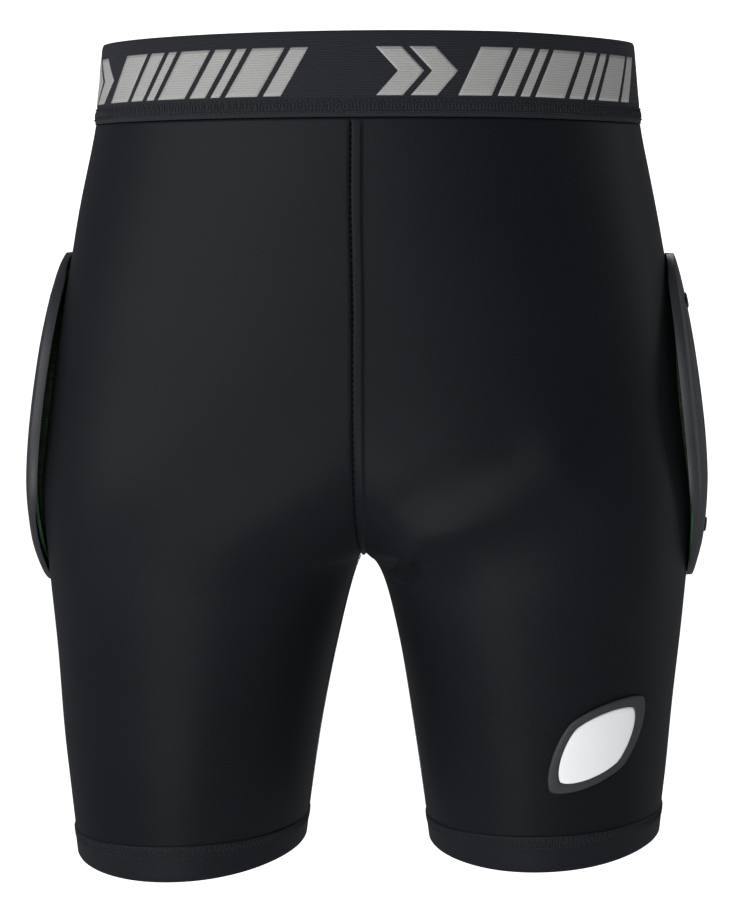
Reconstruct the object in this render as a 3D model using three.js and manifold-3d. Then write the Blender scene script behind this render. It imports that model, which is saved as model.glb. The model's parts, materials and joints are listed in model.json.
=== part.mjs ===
// Padded impact shorts: stretch body panels, woven elastic waistband, leg bands, foam hip and tailbone
// pads in lining pockets, and hard vented hip shields riveted outside the fabric.
// Millimetres. Origin: centre of the waist opening, on its top edge. +Z up, the wearer faces -Y, so the
// wearer's left is +X. The garment keeps the shape it has when worn.
import * as THREE from "three";
import Module from "manifold-3d";

const wasm = await Module();
wasm.setup();

// ---- driving dimensions -------------------------------------------------------------------------
const WAIST_WIDTH = 284; // side to side, outside of the body fabric at the top edge
const HIP_WIDTH = 354; // widest, at the seat
const CROTCH_WIDTH = 350;
const HEM_SPREAD = 321; // outer side of one leg hem to outer side of the other
const RISE = 271; // top edge down to the crotch
const INSEAM = 162.5; // crotch down to the hem, at the side
const LEG_GAP = 70; // between the two hems
const SADDLE = 112; // height over which the trunk divides into two legs
const FABRIC = 1.2;
const CLEAR = 0.3; // space left between neighbouring pieces
const BAND_HEIGHT = 42;
const BAND_THICK = 1.6;
const BAND_LAP = 9; // body fabric tucked up behind the elastic
const BAND_PROUD = 0.8; // outer face of the elastic beyond the body fabric
const HEM_HEIGHT = 14.5; // at the side
const HEM_THICK = 2.0;
const HEM_DIP = 5.4; // hem is this much lower at the front and back than at the side
const SIDE_SEAM = -0.16; // angle of the side seam, just behind the side line
const SEAM_TAPE_WIDTH = 6.5;
const SEAM_TAPE_THICK = 0.7;
const SHIELD_HEIGHT = 180;
const SHIELD_HALF_WIDTH = 64;
const SHIELD_TOP = 110; // below the top edge
const SHIELD_THICK = 2.5;
const SHIELD_STAND_OFF = 7.1; // outer face from the body fabric at the side line
const SHIELD_END_RISE = 4.6; // the same at the top and bottom ends
const SHIELD_CURVE = 0.00146; // inward bend per square millimetre forward or back of the side line
const SHIELD_SWING = 10; // lower end of the shield is this far behind its upper end
const COMFORT_THICK = 1.6; // green foam layer under the shield
const RIVET_SHANK = 1.8;
const RIVET_HEAD = 4.2;
const RIVET_SEAT = 0.6; // underside of the head above the shield face, in the valley between ridges
const PAD_THICK = 7;
const LINING = 0.8;

// ---- the body surface ---------------------------------------------------------------------------
const mix = (a, b, t) => a + (b - a) * t;
const waistHalf = WAIST_WIDTH / 2;
const hipHalf = HIP_WIDTH / 2;
const crotchHalf = CROTCH_WIDTH / 2;
const hemZ = -RISE - INSEAM;

// Level: height, half width, depth in front and behind, and how square the section is.
const LEVELS = [
  { z: 0, half: waistHalf, front: 102, back: 100, power: 2.1 },
  { z: -RISE * 0.162, half: mix(waistHalf, hipHalf, 0.135), front: 108, back: 108, power: 2.15 },
  { z: -RISE * 0.38, half: mix(waistHalf, hipHalf, 0.475), front: 113, back: 121, power: 2.35 },
  { z: -RISE * 0.614, half: mix(waistHalf, hipHalf, 0.8), front: 115, back: 131, power: 2.6 },
  { z: -RISE * 0.85, half: hipHalf, front: 112, back: 130, power: 2.6 },
  { z: -RISE, half: crotchHalf, front: 105, back: 117, power: 2.4 },
  { z: -RISE - INSEAM * 0.47, half: mix(crotchHalf, HEM_SPREAD / 2, 0.44), front: 89, back: 97, power: 2.2 },
  { z: hemZ, half: HEM_SPREAD / 2, front: 72, back: 76, power: 2.1 },
];

// Value of one measure at a height: a smooth curve through the levels.
function measure(key, z) {
  const last = LEVELS.length - 1;
  let k = 0;
  while (k < last - 1 && z < LEVELS[k + 1].z) k += 1;
  const slope = (i) => {
    const a = LEVELS[Math.max(i - 1, 0)];
    const b = LEVELS[Math.min(i + 1, last)];
    return (b[key] - a[key]) / (b.z - a.z);
  };
  const p = LEVELS[k];
  const q = LEVELS[k + 1];
  const span = q.z - p.z;
  const t = (z - p.z) / span;
  const t2 = t * t;
  const t3 = t2 * t;
  return (
    p[key] * (2 * t3 - 3 * t2 + 1) +
    slope(k) * span * (t3 - 2 * t2 + t) +
    q[key] * (3 * t2 - 2 * t3) +
    slope(k + 1) * span * (t3 - t2)
  );
}

// Section of one half of the garment: an oval whose middle moves from the centre line to the leg.
function section(z) {
  const outer = measure("half", z);
  const shape = {
    front: measure("front", z),
    back: measure("back", z),
    power: measure("power", z),
  };
  if (z >= -RISE) {
    const climb = Math.min((z + RISE) / SADDLE, 1);
    const ratio = Math.pow(1 - climb, 1.6);
    return { ...shape, mid: (outer * ratio) / (1 + ratio), half: outer / (1 + ratio) };
  }
  const drop = (-RISE - z) / INSEAM;
  const inner = (LEG_GAP / 2) * (0.775 * Math.sqrt(drop) + 0.225 * drop);
  return { ...shape, mid: (outer + inner) / 2, half: (outer - inner) / 2 };
}

const signedPower = (v, p) => Math.sign(v) * Math.pow(Math.abs(v), p);

// Point of the fabric's outer face on the wearer's left half. The angle is 0 at the side, a quarter
// turn at the front and a half turn on the inner thigh; negative angles are behind the side line.
function skin(angle, z) {
  const s = section(z);
  const depth = Math.sin(angle) > 0 ? s.front : s.back;
  return new THREE.Vector3(
    s.mid + s.half * signedPower(Math.cos(angle), 2 / s.power),
    -depth * signedPower(Math.sin(angle), 2 / s.power),
    z,
  );
}

function outward(angle, z) {
  const step = 0.01;
  const across = skin(angle + step, z).sub(skin(angle - step, z));
  const along = skin(angle, z + 0.4).sub(skin(angle, z - 0.4));
  return across.cross(along).normalize().negate();
}

// The skin moved out (or in, when negative) square to itself.
const skinOffset = (angle, z, off) => skin(angle, z).addScaledVector(outward(angle, z), off);

// Angle at which the section reaches a given distance from the centre line, front or back.
function angleAt(x, z) {
  const s = section(z);
  const reach = (x - s.mid) / s.half;
  if (reach <= -1) return Math.PI;
  return Math.acos(signedPower(Math.min(reach, 1), s.power / 2));
}

// Side-to-side place of the fabric's outer face, seen from the side, at a depth y.
function sideFace(y, z) {
  const s = section(z);
  const depth = y < 0 ? s.front : s.back;
  const rest = 1 - Math.pow(Math.min(Math.abs(y / depth), 1), s.power);
  return s.mid + s.half * Math.pow(rest, 1 / s.power);
}

// ---- solids -------------------------------------------------------------------------------------
function volumeOf(points, faces) {
  let sum = 0;
  for (const [a, b, c] of faces) {
    sum += points[a].dot(new THREE.Vector3().crossVectors(points[b], points[c]));
  }
  return sum / 6;
}

// Closed surface facing out from its points and triangles.
function solid(points, faces) {
  const turned = volumeOf(points, faces) < 0;
  const index = faces.flatMap(([a, b, c]) => (turned ? [a, c, b] : [a, b, c]));
  const geometry = new THREE.BufferGeometry().setFromPoints(points);
  geometry.setIndex(index);
  geometry.computeVertexNormals();
  return geometry;
}

// Sheet with two faces: at(i, j, side) gives the outer (0) and inner (1) face on a grid.
function sheet(columns, rows, at, ring = false) {
  const wide = ring ? columns : columns + 1;
  const tall = rows + 1;
  const points = [];
  for (const side of [0, 1]) {
    for (let j = 0; j < tall; j += 1) {
      for (let i = 0; i < wide; i += 1) points.push(at(i, j, side));
    }
  }
  const id = (i, j, side) => side * wide * tall + j * wide + (ring ? i % columns : i);
  const faces = [];
  const quad = (a, b, c, d) => faces.push([a, b, c], [a, c, d]);
  for (let j = 0; j < rows; j += 1) {
    for (let i = 0; i < columns; i += 1) {
      quad(id(i, j, 0), id(i + 1, j, 0), id(i + 1, j + 1, 0), id(i, j + 1, 0));
      quad(id(i, j + 1, 1), id(i + 1, j + 1, 1), id(i + 1, j, 1), id(i, j, 1));
    }
  }
  for (let i = 0; i < columns; i += 1) {
    quad(id(i, 0, 1), id(i + 1, 0, 1), id(i + 1, 0, 0), id(i, 0, 0));
    quad(id(i, rows, 0), id(i + 1, rows, 0), id(i + 1, rows, 1), id(i, rows, 1));
  }
  for (let j = 0; !ring && j < rows; j += 1) {
    quad(id(0, j, 0), id(0, j + 1, 0), id(0, j + 1, 1), id(0, j, 1));
    quad(id(columns, j, 1), id(columns, j + 1, 1), id(columns, j + 1, 0), id(columns, j, 0));
  }
  return solid(points, faces);
}

// Plate with an outline: at(spread, turn, side) with spread 0 at the middle and 1 on the outline.
function plate(rings, turns, at) {
  const points = [at(0, 0, 0), at(0, 0, 1)];
  for (const side of [0, 1]) {
    for (let k = 1; k <= rings; k += 1) {
      for (let i = 0; i < turns; i += 1) points.push(at(k / rings, (2 * Math.PI * i) / turns, side));
    }
  }
  const id = (k, i, side) => (k === 0 ? side : 2 + side * rings * turns + (k - 1) * turns + (i % turns));
  const faces = [];
  for (let i = 0; i < turns; i += 1) {
    faces.push([0, id(1, i, 0), id(1, i + 1, 0)], [1, id(1, i + 1, 1), id(1, i, 1)]);
    for (let k = 1; k < rings; k += 1) {
      faces.push([id(k, i, 0), id(k + 1, i, 0), id(k + 1, i + 1, 0)]);
      faces.push([id(k, i, 0), id(k + 1, i + 1, 0), id(k, i + 1, 0)]);
      faces.push([id(k, i, 1), id(k + 1, i + 1, 1), id(k + 1, i, 1)]);
      faces.push([id(k, i, 1), id(k, i + 1, 1), id(k + 1, i + 1, 1)]);
    }
    faces.push([id(rings, i, 0), id(rings, i, 1), id(rings, i + 1, 1)]);
    faces.push([id(rings, i, 0), id(rings, i + 1, 1), id(rings, i + 1, 0)]);
  }
  return solid(points, faces);
}

// Turned part along an axis: the profile is [radius, distance] pairs that start and end on the axis.
function turnedPart(profile, base, axis, turns = 10) {
  const lift = new THREE.Quaternion().setFromUnitVectors(new THREE.Vector3(0, 0, 1), axis);
  const place = (r, angle, h) =>
    new THREE.Vector3(r * Math.cos(angle), r * Math.sin(angle), h).applyQuaternion(lift).add(base);
  const rows = profile.slice(1, -1);
  const points = [place(0, 0, profile[0][1]), place(0, 0, profile[profile.length - 1][1])];
  for (const [r, h] of rows) {
    for (let i = 0; i < turns; i += 1) points.push(place(r, (2 * Math.PI * i) / turns, h));
  }
  const id = (k, i) => 2 + k * turns + (i % turns);
  const faces = [];
  for (let i = 0; i < turns; i += 1) {
    faces.push([0, id(0, i + 1), id(0, i)]);
    for (let k = 0; k < rows.length - 1; k += 1) {
      faces.push([id(k, i), id(k, i + 1), id(k + 1, i + 1)], [id(k, i), id(k + 1, i + 1), id(k + 1, i)]);
    }
    faces.push([1, id(rows.length - 1, i), id(rows.length - 1, i + 1)]);
  }
  return solid(points, faces);
}

// Straight bar through the side of the garment with a rounded slot outline in the Y-Z plane.
function slotBar(y, z, halfWidth, halfHeight, lean) {
  const points = [];
  const turns = 8;
  for (const x of [100, 230]) {
    for (let i = 0; i < turns; i += 1) {
      const angle = (2 * Math.PI * (i + 0.5)) / turns;
      const dy = halfWidth * Math.cos(angle);
      const dz = halfWidth * Math.sin(angle) + Math.sign(Math.sin(angle)) * (halfHeight - halfWidth);
      points.push(new THREE.Vector3(x, y + dy + lean * dz, z + dz));
    }
  }
  const faces = [];
  for (let i = 1; i < turns - 1; i += 1) faces.push([0, i, i + 1], [turns, turns + i + 1, turns + i]);
  for (let i = 0; i < turns; i += 1) {
    const n = (i + 1) % turns;
    faces.push([i, turns + i, turns + n], [i, turns + n, n]);
  }
  return solid(points, faces);
}

function toManifold(geometry) {
  const mesh = new wasm.Mesh({
    numProp: 3,
    vertProperties: new Float32Array(geometry.attributes.position.array),
    triVerts: new Uint32Array(geometry.index.array),
  });
  return new wasm.Manifold(mesh);
}

// The geometry with each of the cutters taken away.
function cut(geometry, cutters) {
  const left = cutters.reduce((body, tool) => body.subtract(toManifold(tool)), toManifold(geometry));
  const mesh = left.getMesh();
  const result = new THREE.BufferGeometry();
  result.setAttribute("position", new THREE.BufferAttribute(new Float32Array(mesh.vertProperties), 3));
  result.setIndex(new THREE.BufferAttribute(new Uint32Array(mesh.triVerts), 1));
  result.computeVertexNormals();
  return result;
}

// Mirror image across the centre plane, still facing out.
function mirrored(geometry) {
  const twin = geometry.clone();
  const position = twin.attributes.position;
  for (let i = 0; i < position.count; i += 1) position.setX(i, -position.getX(i));
  const index = twin.index.array;
  for (let i = 0; i < index.length; i += 3) [index[i + 1], index[i + 2]] = [index[i + 2], index[i + 1]];
  twin.computeVertexNormals();
  return twin;
}

// ---- materials ----------------------------------------------------------------------------------
const material = (color, roughness, metalness = 0) =>
  new THREE.MeshStandardMaterial({ color, roughness, metalness });
const STRETCH = material(0x15181c, 0.55);
const ELASTIC = material(0x24272c, 0.8);
const SHELL = material(0x3a3d42, 0.45);
const GREEN_FOAM = material(0x4f8f45, 0.9);
const BLACK_FOAM = material(0x1b1c1e, 0.95);
const MESH_LINING = material(0x202327, 0.9);
const RIVET_METAL = material(0x2c2e31, 0.35, 0.8);
const RUBBER = material(0x2f3134, 0.6);
const SILVER_RUBBER = material(0xd9dadb, 0.4);
const LABEL = material(0xe8e8e4, 0.8);

const shorts = new THREE.Group();
shorts.name = "padded_impact_shorts";
function add(name, geometry, surface) {
  const mesh = new THREE.Mesh(geometry, surface);
  mesh.name = name;
  shorts.add(mesh);
}

// One piece on each side of the body: the wearer's left is built, the right is its mirror image.
function addPair(name, geometry, surface) {
  add(name + "_left", geometry, surface);
  add(name + "_right", mirrored(geometry), surface);
}

// ---- hip shield surfaces ------------------------------------------------------------------------
const shieldMidZ = -SHIELD_TOP - SHIELD_HEIGHT / 2;

// Outline half width at a share of the height: 0 at the top, 1 at the bottom.
function shieldHalfWidth(share) {
  const round = Math.pow(1 - Math.pow(Math.abs(2 * share - 1), 2.6), 1 / 2.6);
  const shoulders = mix(0.72, 1, Math.sin((Math.PI / 2) * Math.min(share / 0.55, 1)));
  return SHIELD_HALF_WIDTH * round * shoulders;
}

// How far the shield has risen from its ends towards its middle, 0 to 1.
function shieldArch(z) {
  const share = Math.min(Math.max((-SHIELD_TOP - z) / SHIELD_HEIGHT, 0), 1);
  return Math.pow(Math.sin(Math.PI * mix(0.02, 0.98, share)), 0.45);
}

// Outer face of the shield without its ridges, as a distance from the centre plane.
function shieldFace(y, z) {
  return measure("half", z) + mix(SHIELD_END_RISE, SHIELD_STAND_OFF, shieldArch(z)) - SHIELD_CURVE * y * y;
}

// How far the shield's middle line has swung back at a height: only its lower half does.
function shieldSwing(z) {
  const below = Math.max((shieldMidZ - z) / (SHIELD_HEIGHT / 2), 0);
  return SHIELD_SWING * below * below;
}

// Height of the long ridges that stiffen the shield.
function shieldRidge(y, z) {
  const across = (y - shieldSwing(z)) / SHIELD_HALF_WIDTH;
  return (0.5 + 0.5 * Math.cos(across * Math.PI * 3)) * shieldArch(z);
}

function shieldOutward(y, z) {
  const step = 1.5;
  const dy = (shieldFace(y + step, z) - shieldFace(y - step, z)) / (2 * step);
  const dz = (shieldFace(y, z + step) - shieldFace(y, z - step)) / (2 * step);
  return new THREE.Vector3(1, -dy, -dz).normalize();
}

// Layer under or in the shield: scale shrinks the outline, faces(y, z) gives [outer, inner] in X.
function shieldLayer(columns, rows, scale, faces) {
  return sheet(columns, rows, (i, j, side) => {
    const share = mix(0.004, 0.996, 0.5 - 0.5 * Math.cos((Math.PI * j) / rows));
    const z = shieldMidZ + SHIELD_HEIGHT * (0.5 - share) * scale;
    const y = ((2 * i) / columns - 1) * shieldHalfWidth(share) * scale + shieldSwing(z);
    return new THREE.Vector3(faces(y, z, (2 * i) / columns - 1)[side], y, z);
  });
}

// Two rivets above the vents and two below them, in the valleys between the ridges.
const valley = SHIELD_HALF_WIDTH / 3;
const RIVET_PLACES = [0.36, -0.32].flatMap((share) => {
  const z = shieldMidZ + SHIELD_HEIGHT * share;
  return [-valley, valley].map((y) => ({ y: y + shieldSwing(z), z }));
});

function rivetAxis({ y, z }) {
  return { base: new THREE.Vector3(shieldFace(y, z), y, z), axis: shieldOutward(y, z) };
}

// How far below the shield face the inner side of the body fabric lies at a rivet.
function rivetReach({ y, z }) {
  return shieldFace(y, z) - sideFace(y, z) + FABRIC;
}

function rivetHole(place) {
  const { base, axis } = rivetAxis(place);
  const r = RIVET_SHANK + CLEAR;
  return turnedPart([[0, -30], [r, -30], [r, 10], [0, 10]], base, axis);
}

const RIVET_HOLES = RIVET_PLACES.map(rivetHole);

// ---- body fabric --------------------------------------------------------------------------------
const panelTop = -BAND_HEIGHT + BAND_LAP;
const panelBottom = hemZ + HEM_HEIGHT + CLEAR;

// Heights of the panel rows: closer together where the seam turns under at the crotch.
function panelHeights() {
  const heights = [];
  const saddleTop = -RISE + 42;
  heights.push(panelTop, -BAND_HEIGHT - 0.5);
  for (let k = 0; k <= 12; k += 1) heights.push(mix(-BAND_HEIGHT - 2, saddleTop, k / 12));
  for (const climb of [28, 16, 7, 2.4, 0.5, -1.5, -6, -16]) heights.push(-RISE + climb);
  for (let k = 1; k <= 7; k += 1) heights.push(mix(-RISE - 16, panelBottom, k / 7));
  return heights;
}

const HEIGHTS = panelHeights();
const PANEL_COLUMNS = 11;

// Panel from the side seam to the centre seam above the crotch and to the inner thigh below it.
// way is 1 for the front and -1 for the back.
function bodyPanel(way) {
  const seam = SIDE_SEAM + way * 0.0015;
  return sheet(PANEL_COLUMNS, HEIGHTS.length - 1, (i, j, side) => {
    const z = HEIGHTS[j];
    const far = way * Math.min(angleAt(0.2, z), Math.PI - 0.0022);
    const angle = mix(seam, far, i / PANEL_COLUMNS);
    const tuck = z > -BAND_HEIGHT - 1 ? BAND_THICK - BAND_PROUD + 3 * CLEAR : 0;
    return skinOffset(angle, z, -tuck - (side === 0 ? 0 : FABRIC));
  });
}

// Flat folded seam beside the centre line, on the outside of the fabric.
function seamTape(way) {
  const heights = HEIGHTS.filter((z) => z < -BAND_HEIGHT - 1 && z > -RISE + 2);
  return sheet(2, heights.length - 1, (i, j, side) => {
    const z = heights[j];
    const angle = way * angleAt(mix(0.8, 0.8 + SEAM_TAPE_WIDTH, i / 2), z);
    return skinOffset(angle, z, CLEAR + (side === 0 ? SEAM_TAPE_THICK : 0));
  });
}

function waistband() {
  return sheet(48, 3, (i, j, side) => {
    const z = (-BAND_HEIGHT * j) / 3;
    return skinOffset((2 * Math.PI * i) / 48, z, side === 0 ? BAND_PROUD : BAND_PROUD - BAND_THICK);
  }, true);
}

function legBand() {
  return sheet(32, 2, (i, j, side) => {
    const angle = (2 * Math.PI * i) / 32;
    const z = mix(hemZ + HEM_HEIGHT, hemZ - HEM_DIP * Math.sin(angle) ** 2, j / 2);
    return skinOffset(angle, z, side === 0 ? CLEAR : CLEAR - HEM_THICK);
  }, true);
}

// ---- hip pad, lining and shield -----------------------------------------------------------------
const rimFade = (edge) => 1 - Math.pow(Math.min(Math.abs(edge), 1), 4);

// Pad that hangs inside the fabric between two angles and two heights, thinner towards its edges.
function innerPad(layers, angles, heights, columns, rows) {
  return sheet(columns, rows, (i, j, side) => {
    const across = (2 * i) / columns - 1;
    const along = (2 * j) / rows - 1;
    const round = Math.sqrt(1 - 0.45 * along * along);
    const angle = mix(angles[0], angles[1], 0.5 + 0.5 * across * round);
    const z = mix(heights[0], heights[1], j / rows);
    const full = rimFade(across) * rimFade(along);
    return skinOffset(angle, z, -layers(full)[side]);
  });
}

const padFrom = FABRIC + 2.6; // leaves room for the rivet washers behind the fabric
const hipPad = () =>
  innerPad((full) => [padFrom, padFrom + 2 + (PAD_THICK - 2) * full], [-0.62, 0.62],
    [-SHIELD_TOP - 14, -SHIELD_TOP - SHIELD_HEIGHT + 14], 8, 8);
const liningFrom = FABRIC + 1.3;
const liningLift = padFrom + PAD_THICK + CLEAR - liningFrom;
const hipLining = () =>
  innerPad((full) => {
    const lift = liningLift * Math.min(full * 2.2, 1);
    return [liningFrom + lift, liningFrom + LINING + lift];
  }, [-0.84, 0.84], [-SHIELD_TOP + 6, -SHIELD_TOP - SHIELD_HEIGHT - 4], 10, 10);

const VENT_ROWS = [0.25, 0.11, -0.03, -0.17];
function ventBars() {
  const bars = [];
  for (const share of VENT_ROWS) {
    for (const y of [-16, 16]) {
      const z = shieldMidZ + SHIELD_HEIGHT * share;
      bars.push(slotBar(y + shieldSwing(z), z, 3.2, 9, -Math.sign(y) * 0.25));
    }
  }
  return bars;
}

function hipShield() {
  const shell = shieldLayer(14, 15, 1, (y, z, across) => {
    const lip = 1.4 * Math.pow(Math.abs(across), 9);
    const face = shieldFace(y, z) - lip;
    return [face + shieldRidge(y, z), face - SHIELD_THICK];
  });
  return cut(shell, [...ventBars(), ...RIVET_HOLES]);
}

function comfortLayer() {
  const layer = shieldLayer(8, 14, 0.9, (y, z, across) => {
    const face = shieldFace(y, z) - SHIELD_THICK - 2 * CLEAR - 1.2 * Math.pow(Math.abs(across), 14);
    return [face, face - COMFORT_THICK];
  });
  return cut(layer, RIVET_HOLES);
}

function spacerPad() {
  const layer = shieldLayer(8, 14, 0.78, (y, z) => {
    const outer = shieldFace(y, z) - SHIELD_THICK - COMFORT_THICK - 5 * CLEAR;
    return [outer, Math.min(sideFace(y, z) + 1.5 * CLEAR, outer - 0.4)];
  });
  return cut(layer, RIVET_HOLES);
}

function rivet(place) {
  const { base, axis } = rivetAxis(place);
  const tail = -rivetReach(place) - 1.9;
  const top = RIVET_SEAT + 0.9;
  return turnedPart(
    [[0, tail], [RIVET_SHANK, tail], [RIVET_SHANK, RIVET_SEAT], [RIVET_HEAD, RIVET_SEAT],
      [RIVET_HEAD - 0.3, top - 0.3], [RIVET_HEAD - 1.6, top], [0, top]],
    base, axis,
  );
}

function rivetWasher(place) {
  const { base, axis } = rivetAxis(place);
  const middle = base.clone().addScaledVector(axis, -rivetReach(place) - 1.5);
  const lift = new THREE.Quaternion().setFromUnitVectors(new THREE.Vector3(0, 0, 1), axis);
  return sheet(10, 1, (i, j, side) => {
    const angle = (2 * Math.PI * i) / 10;
    const r = side === 0 ? 3.8 : RIVET_SHANK + CLEAR;
    return new THREE.Vector3(r * Math.cos(angle), r * Math.sin(angle), j * 0.8 - 0.4)
      .applyQuaternion(lift).add(middle);
  }, true);
}

// ---- tailbone pad -------------------------------------------------------------------------------
const TAIL_TOP = -100;
const TAIL_BOTTOM = -222;

// Inner side of the back fabric at a distance from the centre line.
function backInside(x, z) {
  const angle = -Math.min(angleAt(Math.max(Math.abs(x), 0.3), z), Math.PI);
  const point = skinOffset(angle, z, -FABRIC);
  return point.y;
}

function tailPiece(halfWidth, trim, layers, columns, rows) {
  return sheet(columns, rows, (i, j, side) => {
    const across = (2 * i) / columns - 1;
    const along = (2 * j) / rows - 1;
    const z = mix(TAIL_TOP - trim, TAIL_BOTTOM + trim, j / rows);
    const x = across * halfWidth * mix(1, 0.55, Math.pow(j / rows, 2)) * Math.sqrt(1 - 0.3 * along * along);
    const full = rimFade(across) * rimFade(along);
    const flat = Math.min(backInside(x, z), backInside(0, z) + 1);
    return new THREE.Vector3(x, flat - layers(full)[side], z);
  });
}

const tailPad = () =>
  tailPiece(46, 8, (full) => [1.4, 2.9 + 7 * full], 8, 7);
const tailLining = () =>
  tailPiece(58, 0, (full) => {
    const lift = 10.2 * Math.min(full * 2.4, 1);
    return [1.5 + lift, 1.5 + lift + LINING];
  }, 10, 9);

// ---- leg badge and neck label -------------------------------------------------------------------
const BADGE = { x: 125, z: -RISE - INSEAM * 0.61, long: 33, wide: 19, lean: 0.78 };

// Rounded lozenge on the front of the wearer's left thigh.
function badgePlate(size, from, to) {
  return plate(3, 24, (spread, turn, side) => {
    const along = BADGE.long * size * signedPower(Math.cos(turn), 1.35) * spread;
    const over = BADGE.wide * size * signedPower(Math.sin(turn), 1.35) * spread;
    const x = BADGE.x + along * Math.cos(BADGE.lean) - over * Math.sin(BADGE.lean);
    const z = BADGE.z + along * Math.sin(BADGE.lean) + over * Math.cos(BADGE.lean);
    return skinOffset(angleAt(x, z), z, side === 0 ? to : from);
  });
}

function neckLabel() {
  return sheet(4, 2, (i, j, side) => {
    const x = mix(-20, 20, i / 4);
    const z = mix(-6, panelTop, j / 2);
    const y = skinOffset(-angleAt(Math.max(Math.abs(x), 0.3), z), z, BAND_PROUD - BAND_THICK).y;
    return new THREE.Vector3(x, y - 0.6 - (side === 0 ? 0 : 0.5), z);
  });
}

// ---- assembly -----------------------------------------------------------------------------------
add("waistband_elastic", waistband(), ELASTIC);
add("waist_label_blank", neckLabel(), LABEL);
addPair("front_panel", cut(bodyPanel(1), RIVET_HOLES), STRETCH);
addPair("back_panel", cut(bodyPanel(-1), RIVET_HOLES), STRETCH);
addPair("leg_band", legBand(), STRETCH);
add("centre_front_seam", seamTape(1), STRETCH);
add("centre_back_seam", seamTape(-1), STRETCH);
addPair("hip_shield", hipShield(), SHELL);
addPair("hip_comfort_foam", comfortLayer(), GREEN_FOAM);
addPair("hip_spacer_pad", spacerPad(), BLACK_FOAM);
addPair("hip_pad", hipPad(), BLACK_FOAM);
addPair("hip_pad_lining", hipLining(), MESH_LINING);
RIVET_PLACES.forEach((place, k) => {
  addPair(`shield_rivet_${k + 1}`, rivet(place), RIVET_METAL);
  addPair(`rivet_washer_${k + 1}`, rivetWasher(place), RIVET_METAL);
});
add("tailbone_pad", tailPad(), BLACK_FOAM);
add("tailbone_pad_lining", tailLining(), MESH_LINING);
add("leg_badge_base", badgePlate(1, CLEAR, CLEAR + 1), RUBBER);
add("leg_badge_face", badgePlate(0.8, 2 * CLEAR + 1, 2 * CLEAR + 1.7), SILVER_RUBBER);

export default shorts;
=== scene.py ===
import json
import math

import bmesh
import bpy
import numpy as np
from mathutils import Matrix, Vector

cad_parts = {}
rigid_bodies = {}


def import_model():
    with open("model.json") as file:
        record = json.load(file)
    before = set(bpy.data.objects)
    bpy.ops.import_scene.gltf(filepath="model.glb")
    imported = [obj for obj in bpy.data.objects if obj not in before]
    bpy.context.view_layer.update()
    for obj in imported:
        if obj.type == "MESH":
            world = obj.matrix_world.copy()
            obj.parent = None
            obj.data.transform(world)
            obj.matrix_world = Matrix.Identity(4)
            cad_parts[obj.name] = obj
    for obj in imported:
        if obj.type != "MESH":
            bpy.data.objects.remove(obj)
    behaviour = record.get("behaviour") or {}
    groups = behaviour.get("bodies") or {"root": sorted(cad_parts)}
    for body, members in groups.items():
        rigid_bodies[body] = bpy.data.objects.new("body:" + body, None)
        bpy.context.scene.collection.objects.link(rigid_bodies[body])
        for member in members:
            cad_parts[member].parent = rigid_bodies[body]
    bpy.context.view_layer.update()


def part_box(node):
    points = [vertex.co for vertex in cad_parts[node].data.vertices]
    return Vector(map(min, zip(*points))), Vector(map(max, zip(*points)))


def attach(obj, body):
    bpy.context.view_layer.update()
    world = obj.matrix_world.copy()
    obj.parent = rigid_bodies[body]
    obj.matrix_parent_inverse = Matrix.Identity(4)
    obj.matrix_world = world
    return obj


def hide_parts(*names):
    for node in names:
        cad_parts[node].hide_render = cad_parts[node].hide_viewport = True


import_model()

MM = 0.001
rng = np.random.default_rng(7)

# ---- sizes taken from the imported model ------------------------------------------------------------
BAND_LO, BAND_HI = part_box("waistband_elastic")
LEG_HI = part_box("leg_band_left")[1]
SHIELD_LO, SHIELD_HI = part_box("hip_shield_left")

TOP = BAND_HI[2]
BAND_BOTTOM = BAND_LO[2]
CROTCH = -271 * MM
HEM = -433.5 * MM
HEM_JOIN = LEG_HI[2]
HEM_HEIGHT = (HEM_JOIN - HEM) / MM
HEM_DIP = 5.4 * MM
RISE = TOP - CROTCH
INSEAM = CROTCH - HEM
WAIST_HALF = 142 * MM
HIP_HALF = 177 * MM
LEG_GAP = 70 * MM
SADDLE = 112 * MM
FABRIC = 1.2 * MM
SEAM_ANGLE = -0.16


# ---- camera ---------------------------------------------------------------------------------------
def make_camera():
    data = bpy.data.cameras.new("camera")
    data.lens = 102.9
    data.sensor_width = 36
    data.clip_end = 50
    cam = bpy.data.objects.new("camera", data)
    bpy.context.collection.objects.link(cam)
    turn = math.radians(4.5)
    reach = 1.4
    cam.location = (reach * math.sin(turn), -reach * math.cos(turn), -77.6 * MM)
    cam.rotation_euler = (math.radians(90 - 5.77), 0, turn)
    bpy.context.scene.camera = cam
    return cam


camera = make_camera()


# ---- body surface ---------------------------------------------------------------------------------
def mix(a, b, t):
    return a + (b - a) * t


def smooth(t):
    t = np.clip(t, 0, 1)
    return t * t * (3 - 2 * t)


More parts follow.
